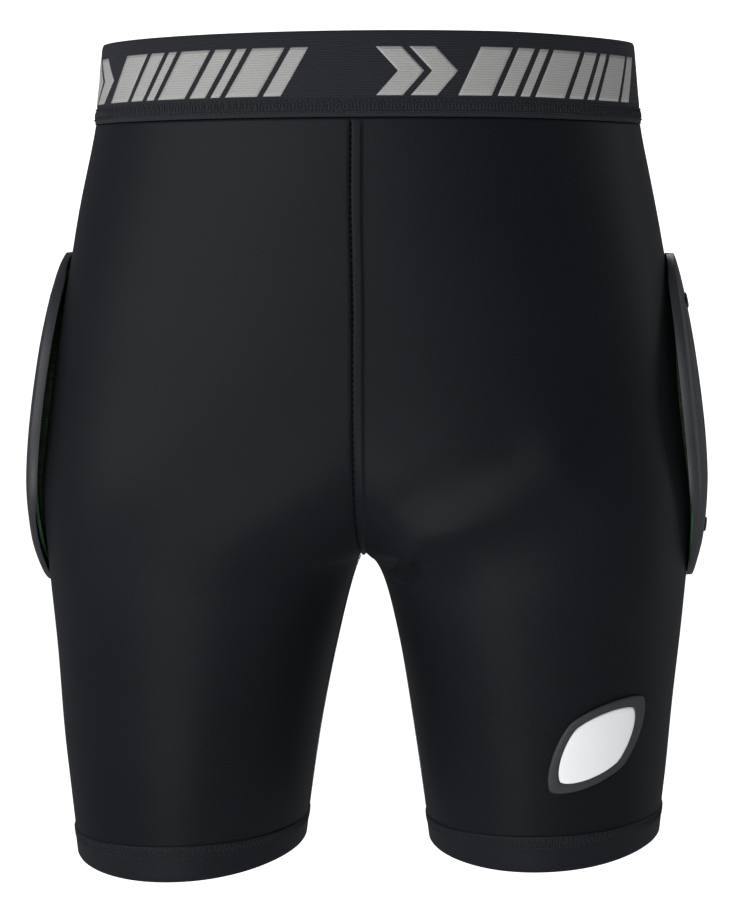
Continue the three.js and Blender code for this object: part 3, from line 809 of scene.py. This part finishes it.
def band_ribs():
    """Coverstitch that joins the elastic to the body cloth: close upright threads and two needle rows."""
    stitches = []
    girth = BAND_GIRTH
    count = int(girth / (1.75 * MM))
    for k in range(count):
        arc = (k + 0.1 * rng.standard_normal()) / count * girth
        lean = 0.35 * MM * (1 if k % 2 else -1)
        a, n = band_point(arc - lean, -34.9 * MM, 0.72 * MM)
        b, _ = band_point(arc + lean, -39.4 * MM, 0.78 * MM)
        stitches.append((a, b, n))
    for z in (-34.4, -39.9):
        steps = int(girth / (2.6 * MM))
        for k in range(steps):
            arc = k / steps * girth
            a, n = band_point(arc + 0.2 * MM, z * MM, 0.74 * MM)
            b, _ = band_point(arc + 2.3 * MM, z * MM, 0.74 * MM)
            stitches.append((a, b, n))
    obj = grain_mesh("waistband_coverstitch", stitches, 0.36 * MM, THREAD)
    place(obj, "elastic")
    return obj


def leg_band(side, word):
    levels = np.array([0, 0.03, 0.07, 0.12, 0.2, 0.3, 0.4, 0.5, 0.6, 0.7, 0.8, 0.88, 0.94, 0.98, 1.0])
    heights = HEM_JOIN + (HEM - HEM_JOIN) * levels
    dips = HEM_DIP * levels
    rise = 0.55 - 0.5 * np.exp(-((levels - 1) / 0.035) ** 2) - 0.25 * np.exp(-(levels / 0.03) ** 2)
    _, _, outer, uv, girth = ring_points(240, heights, rise * MM, dips)
    _, _, inner, _, _ = ring_points(240, heights, np.full(len(heights), -1.3 * MM), dips)
    obj = shell(f"leg_band_cloth_{word}", on_side(outer, side), on_side(inner, side), uv, BAND_CLOTH,
                ring=True)
    place(obj, "stretch_fabric", f"leg_band_{word}")
    leg_stitches(side, word)
    return obj


def leg_stitches(side, word):
    stitches = []
    for z0, z1, count, lean in ((-0.9, -4.2, 300, 0.006), (-0.6, -0.6, 150, 0), (-4.6, -4.6, 150, 0)):
        for k in range(count):
            angle = 2 * math.pi * k / count
            turn = 2 * math.pi / count
            if z0 == z1:
                ends = ((angle, z0), (angle + turn * 0.82, z1))
            else:
                swing = lean * (1 if k % 2 else -1)
                ends = ((angle - swing, z0), (angle + swing, z1))
            pair = []
            for w, drop in ends:
                z = HEM_JOIN + drop * MM - HEM_DIP * math.sin(w) ** 2 * (-drop / HEM_HEIGHT)
                pair.append(skin(w, z) + outward(w, z) * 0.5 * MM)
            n = on_side(outward(angle, HEM_JOIN - 3 * MM), side)
            a, b = (on_side(p, side) for p in pair)
            stitches.append((a, b, n))
    obj = grain_mesh(f"leg_band_stitches_{word}", stitches, 0.22 * MM, THREAD)
    place(obj, "stretch_fabric")
    return obj


def long_seam(name, side, angle, top, bottom):
    """Flat four-thread seam down the cloth at one angle: rungs between two rows of stitches."""
    stitches = []
    step = 1.5 * MM
    half = 2.0 * MM
    rows = int((top - bottom) / step)
    for k in range(rows):
        z = top - step * (k + 0.5)
        base = skin(angle, z)
        normal = outward(np.array(angle), np.array(z))
        across = np.cross(normal, (0, 0, 1.0))
        across = across / np.linalg.norm(across)
        lean = np.array((0, 0, 0.35 * MM * (1 if k % 2 else -1)))
        lift = normal * 0.1 * MM
        for a, b in ((base - across * half - lean, base + across * half + lean),
                     (base - across * half, base - across * half - (0, 0, step * 0.9)),
                     (base + across * half, base + across * half - (0, 0, step * 0.9))):
            n = on_side(normal, side)
            stitches.append((on_side(a + lift, side), on_side(b + lift, side), n))
    obj = grain_mesh(name, stitches, 0.2 * MM, THREAD, sides=5)
    place(obj, "stretch_fabric")
    return obj


def seam_stitches(name, way, node):
    """Stitches of the centre seam: one needle row beside the join."""
    stitches = []
    long, pitch = 2.0 * MM, 3.1 * MM
    z = BAND_BOTTOM - 2.5 * MM
    while z > CROTCH + 6 * MM:
        ends = []
        for height in (z, z - long):
            angle = angle_at(0.25 * MM, np.array(height), way)
            p = skin(angle, height) + outward(angle, height) * (-0.25 * MM)
            p[..., 0] = 0.1 * MM
            ends.append(p)
        n = outward(angle_at(0.25 * MM, np.array(z), way), z)
        n[0] = 0
        n = n / np.linalg.norm(n)
        if np.linalg.norm(ends[0] - ends[1]) > 2 * long:
            break
        stitches.append((ends[0], ends[1], n))
        z -= pitch
    obj = grain_mesh(name, stitches, 0.42 * MM, DARK_THREAD)
    place(obj, "stretch_fabric", node)
    return obj


# ---- hip shields ------------------------------------------------------------------------------------
SHIELD_TOP = SHIELD_HI[2]
SHIELD_HEIGHT = SHIELD_HI[2] - SHIELD_LO[2]
SHIELD_MID = (SHIELD_HI[2] + SHIELD_LO[2]) / 2
SHIELD_HALF = 64 * MM
SHIELD_THICK = 2.5 * MM


def side_half(z):
    return np.interp(z, HEIGHTS, OUTER_PLAIN)


OUTER_PLAIN = through_levels(1)


def shield_half_width(share):
    rounded = np.power(1 - np.power(np.abs(2 * share - 1), 2.6), 1 / 2.6)
    shoulders = mix(0.72, 1, np.sin(math.pi / 2 * np.minimum(share / 0.55, 1)))
    return SHIELD_HALF * rounded * shoulders


def shield_arch(z):
    share = np.clip((SHIELD_TOP - z) / SHIELD_HEIGHT, 0, 1)
    return np.power(np.sin(math.pi * mix(0.02, 0.98, share)), 0.45)


def shield_face(y, z):
    rise = mix(4.6, 7.1, shield_arch(z)) * MM
    return side_half(z) + rise - 1.46 * y * y


def shield_swing(z):
    below = np.maximum((SHIELD_MID - z) / (SHIELD_HEIGHT / 2), 0)
    return 10 * MM * below * below


def shield_ridge(y, z):
    wave = 0.5 + 0.5 * np.cos((y - shield_swing(z)) / SHIELD_HALF * math.pi * 3)
    return 1.0 * MM * np.power(wave, 0.8) * shield_arch(z)


def shield_grid(columns, rows, scale):
    share = mix(0.004, 0.996, 0.5 - 0.5 * np.cos(math.pi * np.linspace(0, 1, rows)))
    across = np.linspace(-1, 1, columns)
    across = np.sin(across * math.pi / 2 * 0.92) / math.sin(math.pi / 2 * 0.92)
    z = SHIELD_MID + SHIELD_HEIGHT * (0.5 - share) * scale
    y = across[None, :] * shield_half_width(share)[:, None] * scale + shield_swing(z)[:, None]
    return y, np.repeat(z[:, None], columns, axis=1), np.repeat(across[None, :], rows, axis=0), share


def layer(name, side, y, z, outer_x, inner_x, material):
    outer = on_side(np.stack([outer_x, y, z], axis=-1), side)
    inner = on_side(np.stack([inner_x, y, z], axis=-1), side)
    return shell(name, outer, inner, np.stack([y, z], axis=-1), material)


def apply_modifiers(obj):
    evaluated = obj.evaluated_get(bpy.context.evaluated_depsgraph_get())
    mesh = bpy.data.meshes.new_from_object(evaluated)
    obj.modifiers.clear()
    obj.data = mesh


def slot_cutters(side):
    """Vent slots through the shield, two leaning rows."""
    verts, faces = [], []
    for share in (0.25, 0.11, -0.03, -0.17):
        for y0 in (-16, 16):
            z0 = SHIELD_MID + SHIELD_HEIGHT * share
            y_slot = y0 + float(shield_swing(z0)) / MM
            lean = -math.copysign(0.25, y0)
            start = len(verts)
            turns = 20
            for x in (0.10, 0.23):
                for k in range(turns):
                    w = 2 * math.pi * (k + 0.5) / turns
                    dy = 3.2 * math.cos(w)
                    dz = 3.2 * math.sin(w) + math.copysign(5.8, math.sin(w))
                    verts.append((side * x, (y_slot + dy + lean * dz) * MM, z0 + dz * MM))
            faces.append(tuple(start + k for k in range(turns)))
            faces.append(tuple(start + turns + k for k in reversed(range(turns))))
            for k in range(turns):
                n = (k + 1) % turns
                faces.append((start + k, start + turns + k, start + turns + n, start + n))
    cutter = new_object("slot_cutter", verts, faces)
    face_out(cutter)
    return cutter


def hip_shield(side, word):
    y, z, across, _ = shield_grid(61, 91, 1.0)
    lip = 1.5 * MM * np.power(np.abs(across), 9)
    share = (SHIELD_TOP - z) / SHIELD_HEIGHT
    lip = lip + 0.9 * MM * np.power(np.abs(2 * np.clip(share, 0, 1) - 1), 14)
    lip = lip + 1.3 * MM * smooth((share - 0.84) / 0.12)
    face = shield_face(y, z) - lip
    rim = 0.8 * MM * np.exp(-((np.abs(across) - 0.93) / 0.03) ** 2) * shield_arch(z)
    at_ends = smooth((0.8 - share) / 0.12) * smooth(share / 0.1)
    wall = 2.2 * MM * smooth((np.abs(across) - 0.945) / 0.04) * at_ends
    front = face + shield_ridge(y, z) * (np.abs(across) < 0.9) + rim
    obj = layer(f"hip_shield_shell_{word}", side, y, z, front, face - SHIELD_THICK - wall, SHELL)
    cutter = slot_cutters(side)
    cut = obj.modifiers.new("slots", "BOOLEAN")
    cut.operation = "DIFFERENCE"
    cut.object = cutter
    cut.solver = "EXACT"
    apply_modifiers(obj)
    bpy.data.objects.remove(cutter)
    bevel = obj.modifiers.new("bevel", "BEVEL")
    bevel.width = 0.45 * MM
    bevel.segments = 2
    bevel.limit_method = "ANGLE"
    bevel.angle_limit = math.radians(50)
    apply_modifiers(obj)
    for polygon in obj.data.polygons:
        polygon.use_smooth = True
    place(obj, "shield_plastic", f"hip_shield_{word}")
    return obj


def cloth_side_face(y, z):
    depth = np.where(y < 0, table("front", z), table("back", z))
    power = table("power", z)
    rest = 1 - np.power(np.minimum(np.abs(y / depth), 1), power)
    return table("middle", z) + table("half", z) * np.power(rest, 1 / power)


def comfort_foam(side, word):
    y, z, across, _ = shield_grid(41, 61, 0.9)
    outer = shield_face(y, z) - SHIELD_THICK - 0.6 * MM - 1.2 * MM * np.power(np.abs(across), 14)
    obj = layer(f"comfort_foam_{word}", side, y, z, outer, outer - 1.6 * MM, GREEN)
    place(obj, "comfort_foam", f"hip_comfort_foam_{word}")
    return obj


def spacer_pad(side, word):
    y, z, _, _ = shield_grid(41, 61, 0.78)
    outer = shield_face(y, z) - SHIELD_THICK - 3.1 * MM
    inner = np.minimum(cloth_side_face(y, z) + 0.3 * MM, outer - 0.4 * MM)
    obj = layer(f"spacer_pad_{word}", side, y, z, outer, inner, SPACER)
    place(obj, "pad_foam", f"hip_spacer_pad_{word}")
    return obj


RIVET_PLACES = [(-21.33, 0.36), (21.33, 0.36), (-21.33, -0.32), (21.33, -0.32)]


def turned_faces(rings, turns):
    """Quads between the neighbouring rings of a turned shape."""
    return [(j * turns + k, j * turns + n, (j + 1) * turns + n, (j + 1) * turns + k)
            for j in range(rings - 1) for k in range(turns) for n in [(k + 1) % turns]]


def lathe(name, profile, base, axis, material, turns=28):
    verts = []
    lift = Vector((0, 0, 1)).rotation_difference(axis)
    for r, h in profile:
        for k in range(turns):
            w = 2 * math.pi * k / turns
            verts.append(base + lift @ Vector((r * math.cos(w), r * math.sin(w), h)) * MM)
    faces = turned_faces(len(profile), turns)
    if profile[0] == profile[-1]:
        last = len(verts) - turns
        faces = [tuple(v - last if v >= last else v for v in face) for face in faces]
        verts = verts[:last]
    else:
        faces.append(tuple(reversed(range(turns))))
        faces.append(tuple((len(profile) - 1) * turns + k for k in range(turns)))
    obj = new_object(name, verts, faces, None, material)
    face_out(obj)
    return obj


def rivets(side, word):
    for k, (y, share) in enumerate(RIVET_PLACES):
        z = SHIELD_MID + SHIELD_HEIGHT * share
        y = y * MM + float(shield_swing(z))
        step = 1.5 * MM
        dy = (shield_face(y + step, z) - shield_face(y - step, z)) / (2 * step)
        dz = (shield_face(y, z + step) - shield_face(y, z - step)) / (2 * step)
        axis = Vector((side, -dy, -dz)).normalized()
        base = Vector((side * float(shield_face(y, z)), y, float(z)))
        reach = float(shield_face(y, z) - cloth_side_face(y, z)) / MM + 1.2
        profile = [(0.6, -reach - 1.9), (1.8, -reach - 1.8), (1.8, 0.5), (4.0, 0.5), (4.2, 0.7), (4.15, 0.95),
                   (3.7, 1.3), (2.9, 1.5), (1.7, 1.55), (1.2, 1.35), (0.4, 1.3)]
        obj = lathe(f"shield_rivet_turned_{k + 1}_{word}", profile, base, axis, RIVET)
        place(obj, "rivet_metal", f"shield_rivet_{k + 1}_{word}")
        ring = [(2.1, -reach - 1.1), (3.6, -reach - 1.1), (3.8, -reach - 1.3), (3.8, -reach - 1.7),
                (3.6, -reach - 1.9), (2.1, -reach - 1.9), (2.1, -reach - 1.1)]
        obj = lathe(f"rivet_washer_pressed_{k + 1}_{word}", ring, base, axis, RIVET)
        place(obj, "rivet_metal", f"rivet_washer_{k + 1}_{word}")


# ---- pads and linings inside ------------------------------------------------------------------------
def rim_fade(edge):
    return 1 - np.power(np.minimum(np.abs(edge), 1), 4)


def inner_grid(angles, heights, columns, rows):
    across = np.linspace(-1, 1, columns)[None, :]
    along = np.linspace(-1, 1, rows)[:, None]
    rounded = np.sqrt(1 - 0.45 * along * along)
    angle = mix(angles[0], angles[1], 0.5 + 0.5 * across * rounded)
    z = np.repeat(mix(heights[0], heights[1], (along + 1) / 2), columns, axis=1)
    full = rim_fade(across) * rim_fade(along)
    return angle, z, full, across, along


PUFF_PRESSURE = 4.0
PUFF_FRAMES = 20


def puff(obj, cap):
    """Blows a closed pad up a little with the cloth solver, keeps no point further than cap."""
    remesh = obj.modifiers.new("remesh", "REMESH")
    remesh.mode = "VOXEL"
    remesh.voxel_size = 5 * MM
    apply_modifiers(obj)
    before = np.empty(len(obj.data.vertices) * 3)
    obj.data.vertices.foreach_get("co", before)
    cloth = obj.modifiers.new("cloth", "CLOTH")
    cloth.settings.use_pressure = True
    cloth.settings.uniform_pressure_force = PUFF_PRESSURE
    cloth.settings.effector_weights.gravity = 0
    cloth.point_cache.frame_start = 1
    cloth.point_cache.frame_end = PUFF_FRAMES
    for number in range(1, PUFF_FRAMES + 1):
        bpy.context.scene.frame_set(number)
    evaluated = obj.evaluated_get(bpy.context.evaluated_depsgraph_get())
    mesh = bpy.data.meshes.new_from_object(evaluated)
    obj.modifiers.clear()
    obj.data = mesh
    after = np.empty(len(mesh.vertices) * 3)
    mesh.vertices.foreach_get("co", after)
    move = (after - before).reshape(-1, 3)
    size = np.linalg.norm(move, axis=1, keepdims=True)
    move *= np.minimum(1, cap / np.maximum(size, 1e-9))
    mesh.vertices.foreach_set("co", (before.reshape(-1, 3) + move).ravel())
    for polygon in mesh.polygons:
        polygon.use_smooth = True
    subdivision = obj.modifiers.new("smooth", "SUBSURF")
    subdivision.levels = 1
    apply_modifiers(obj)
    bpy.context.scene.frame_set(1)


PAD_FROM = 3.8 * MM
PAD_THICK = 7 * MM


def foam_pad(name, outer, inner, uv, cap, node):
    """Inner foam pad, blown up a little by the cloth solver, no point by more than cap."""
    obj = shell(name, outer, inner, uv, FOAM)
    puff(obj, cap)
    obj.data.materials.clear()
    obj.data.materials.append(FOAM)
    place(obj, "pad_foam", node)


def hip_pad(side, word):
    angle, z, full, _, _ = inner_grid((-0.62, 0.62), (-124 * MM, -276 * MM), 21, 21)
    points = skin(angle, z)
    normal = outward(angle, z)
    outer = points - normal * PAD_FROM
    inner = points - normal * (PAD_FROM + (2 * MM + (PAD_THICK - 2 * MM) * full))[..., None]
    uv = np.stack([angle * 0.1, z], axis=-1)
    foam_pad(f"hip_pad_foam_{word}", on_side(outer, side), on_side(inner, side), uv, 0.3 * MM,
             f"hip_pad_{word}")


def quilted(across, full):
    """Quilting of a lining: three channels, none at the rim."""
    channels = np.abs(np.sin(across * 3 * math.pi / 2)) ** 0.5 - 0.8
    return 0.9 * MM * channels * smooth(full * 1.5 - 0.4)


def hip_lining(side, word):
    angle, z, full, across, _ = inner_grid((-0.84, 0.84), (-104 * MM, -294 * MM), 61, 61)
    points = skin(angle, z)
    normal = outward(angle, z)
    start = FABRIC + 1.3 * MM
    lift = (PAD_FROM + PAD_THICK + 0.3 * MM - start) * np.minimum(full * 2.2, 1)
    quilt = quilted(across, full)
    outer = points - normal * (start + lift + quilt * 0.6)[..., None]
    inner = points - normal * (start + 0.8 * MM + lift + quilt)[..., None]
    uv = np.stack([angle * 0.1, z], axis=-1)
    obj = shell(f"hip_lining_cloth_{word}", on_side(outer, side), on_side(inner, side), uv, LINING)
    place(obj, "lining_mesh", f"hip_pad_lining_{word}")


def back_inside(x, z):
    angle = angle_at(np.maximum(np.abs(x), 0.3 * MM), z, -1)
    return skin(angle, z)[..., 1] - FABRIC


def tail_back(x, z):
    """Inside of the back panels where the tailbone pad lies, bridging the dip at the centre seam."""
    return np.minimum(back_inside(x, z), back_inside(0.0, z) + 1 * MM)


def tail_grid(half_width, trim, columns, rows):
    across = np.linspace(-1, 1, columns)[None, :]
    along = np.linspace(-1, 1, rows)[:, None]
    share = (along + 1) / 2
    z = np.repeat(mix(-100 * MM - trim, -222 * MM + trim, share), columns, axis=1)
    x = across * half_width * mix(1, 0.55, share ** 2) * np.sqrt(1 - 0.3 * along * along)
    full = rim_fade(across) * rim_fade(along)
    return x, z, full, across


def tail_pad():
    x, z, full, _ = tail_grid(46 * MM, 8 * MM, 19, 23)
    back = tail_back(x, z)
    outer = np.stack([x, back - 1.4 * MM, z], axis=-1)
    inner = np.stack([x, back - (2.9 + 7 * full) * MM, z], axis=-1)
    foam_pad("tailbone_pad_foam", outer, inner, np.stack([x, z], axis=-1), 0.4 * MM, "tailbone_pad")


def tail_lining():
    x, z, full, across = tail_grid(58 * MM, 0, 61, 61)
    back = tail_back(x, z)
    lift = 10.2 * MM * np.minimum(full * 2.4, 1)
    quilt = quilted(across, full)
    outer = np.stack([x, back - 1.5 * MM - lift, z], axis=-1)
    inner = np.stack([x, back - 2.3 * MM - lift - quilt, z], axis=-1)
    obj = shell("tailbone_lining_cloth", outer, inner, np.stack([x, z], axis=-1), LINING)
    place(obj, "lining_mesh", "tailbone_pad_lining")


# ---- badge and label --------------------------------------------------------------------------------
BADGE_X, BADGE_Z = 125 * MM, -370.1 * MM
BADGE_LONG, BADGE_WIDE, BADGE_LEAN = 33 * MM, 19 * MM, 0.78


def badge_points(size, spread, turn):
    along = BADGE_LONG * size * signed_power(np.cos(turn), 1.35) * spread
    over = BADGE_WIDE * size * signed_power(np.sin(turn), 1.35) * spread
    x = BADGE_X + along * math.cos(BADGE_LEAN) - over * math.sin(BADGE_LEAN)
    z = BADGE_Z + along * math.sin(BADGE_LEAN) + over * math.cos(BADGE_LEAN)
    return x, z


def badge_plate(name, size, heights, under, material, slot, node):
    """Plate on the thigh: heights gives (spread, lift) pairs from the middle to the outline."""
    turns = 96
    turn = np.linspace(0, 2 * math.pi, turns, endpoint=False)
    grids = []
    for profile in (heights, [(s, under) for s, _ in heights]):
        rows = []
        for spread, lift in profile:
            x, z = badge_points(size, np.full(turns, max(spread, 0.04)), turn)
            angle = angle_at(x, z, 1)
            rows.append(skin(angle, z) + outward(angle, z) * lift * MM)
        grids.append(np.array(rows))
    outer, inner = grids
    uv = outer[..., [0, 2]]
    obj = shell(name, outer, inner, uv, material, ring=True, disc=True)
    place(obj, slot, node)
    return obj


def badge():
    base = [(0.0, 0.9), (0.5, 0.9), (0.76, 0.9), (0.79, 1.0), (0.81, 1.75),
            (0.85, 1.95), (0.93, 1.95), (0.98, 1.75), (1.0, 1.2)]
    badge_plate("badge_rubber_base", 1.0, base, 0.3, BADGE_EDGE, "badge_rubber", "leg_badge_base")
    face = [(0.0, 2.1), (0.3, 2.1), (0.6, 2.05), (0.85, 1.9), (0.95, 1.75), (1.0, 1.5)]
    badge_plate("badge_silver_face", 0.78, face, 1.05, BADGE_FACE, "badge_silver", "leg_badge_face")


def waist_label():
    across = np.linspace(-20, 20, 21)[None, :] * MM
    down = np.linspace(-6, -33, 15)[:, None] * MM
    x = np.repeat(across, 15, axis=0)
    z = np.repeat(down, 21, axis=1)
    angle = angle_at(np.maximum(np.abs(x), 0.3 * MM), z, -1)
    back = skin(angle, z)[..., 1] - 1.4 * MM
    curl = 0.8 * MM * smooth((z / MM + 33) / -8 + 1)
    outer = np.stack([x, back - curl, z], axis=-1)
    inner = np.stack([x, back - 0.5 * MM - curl, z], axis=-1)
    obj = shell("waist_label_cloth", outer, inner, np.stack([x, z], axis=-1), LABEL)
    place(obj, "label_cloth", "waist_label_blank")


# ---- build ------------------------------------------------------------------------------------------
band, band_girth = waistband()
bars = silver_bars()
ribs = band_ribs()
for side, word in ((1, "left"), (-1, "right")):
    seam_end = HEM_JOIN + 0.5 * MM
    seams = [long_seam(f"side_seam_stitches_{word}", side, SEAM_ANGLE, BAND_BOTTOM - 2 * MM, seam_end),
             long_seam(f"thigh_seam_stitches_{word}", side, math.pi - 0.001, CROTCH - 5 * MM, seam_end)]
    panel(f"front_cloth_{word}", 1, side, seams, f"front_panel_{word}")
    panel(f"back_cloth_{word}", -1, side, [], f"back_panel_{word}")
    leg_band(side, word)
    hip_shield(side, word)
    comfort_foam(side, word)
    spacer_pad(side, word)
    rivets(side, word)
    hip_pad(side, word)
    hip_lining(side, word)
seam_stitches("front_seam_stitches", 1, "centre_front_seam")
seam_stitches("back_seam_stitches", -1, "centre_back_seam")
tail_pad()
tail_lining()
badge()
waist_label()
stand_as_worn()


# ---- studio -----------------------------------------------------------------------------------------
def area_light(name, where, target, size, power):
    data = bpy.data.lights.new(name, "AREA")
    data.shape = "RECTANGLE"
    data.size, data.size_y = size
    data.energy = power
    lamp = bpy.data.objects.new(name, data)
    lamp.location = where
    direction = Vector(target) - Vector(where)
    lamp.rotation_euler = direction.to_track_quat("-Z", "Y").to_euler()
    bpy.context.collection.objects.link(lamp)


def turned_sheet(name, profile, material, turns=96):
    """Floor or wall turned round the vertical axis from [radius, height] pairs."""
    verts = []
    for r, z in profile:
        for k in range(turns):
            w = 2 * math.pi * k / turns
            verts.append((r * math.cos(w), r * math.sin(w), z))
    return new_object(name, verts, turned_faces(len(profile), turns), None, material)


def studio_paper(name, near, far):
    """Matt white paper that glows a little, from near to far across the room."""
    n = Nodes(name)
    where = n.coordinates("Object")
    grain = n.texture("Noise", where, Scale=40.0, Detail=4.0)
    n.mix_colour((grain, "Fac"), (0.93, 0.93, 0.93), (0.97, 0.97, 0.97))
    n.set(Roughness=0.9, Emission_Color=(1, 1, 1, 1))
    reach = n.add("VectorMath", operation="LENGTH")
    n.link(where, "Vector", reach, "Vector")
    ramp = n.add("MapRange", interpolation_type="SMOOTHSTEP")
    n.link(reach, "Value", ramp, "Value")
    for key, value in (("From Min", 1.2), ("From Max", 1.7), ("To Min", near), ("To Max", far)):
        ramp.inputs[key].default_value = value
    n.link(ramp, "Result", n.bsdf, "Emission Strength")
    return n.material


FLOOR_Z = -0.85
FLOOR_RADIUS = 3.0
COVE = 0.9  # radius of the bend from floor to wall
WALL_TOP = 3.6
LIGHTS = [  # name, place, what it is aimed at, width and height, watts
    ("key_softbox", (-1.1, -1.3, 0.35), (0, 0, -0.2), (2.7, 1.6), 23),
    ("low_front_card", (-0.4, -1.4, -0.95), (0.03, 0, -0.4), (0.6, 0.4), 10),
    ("rim_right", (1.35, 0.55, 0.1), (0.1, 0, -0.2), (0.3, 1.5), 1.5),
    ("back_light", (0.3, 2.0, 1.1), (0, 0, -0.22), (1.2, 0.8), 6),
]


def studio():
    """White paper floor and wall round the object, four soft lights and a dim world."""
    flat = [(0.001, FLOOR_Z), (1.0, FLOOR_Z), (FLOOR_RADIUS, FLOOR_Z)]
    floor = turned_sheet("studio_floor", flat, studio_paper("studio_floor_paper", 0.75, 1.0))
    bend = [(FLOOR_RADIUS + COVE * math.sin(w), FLOOR_Z + COVE - COVE * math.cos(w))
            for w in np.linspace(0, math.pi / 2, 13)]
    top = [(FLOOR_RADIUS + COVE, WALL_TOP)]
    wall = turned_sheet("studio_wall", bend + top, studio_paper("studio_wall_paper", 1.0, 1.0))
    floor.visible_glossy = False
    wall.visible_diffuse = False
    wall.visible_glossy = False
    wall.visible_shadow = False
    for light in LIGHTS:
        area_light(*light)
    world = bpy.data.worlds.new("studio_world")
    world.use_nodes = True
    background = world.node_tree.nodes["Background"].inputs
    background["Color"].default_value = (0.92, 0.94, 1.0, 1)
    background["Strength"].default_value = 0.13
    bpy.context.scene.world = world
    bpy.context.scene.view_settings.view_transform = "Standard"


studio()
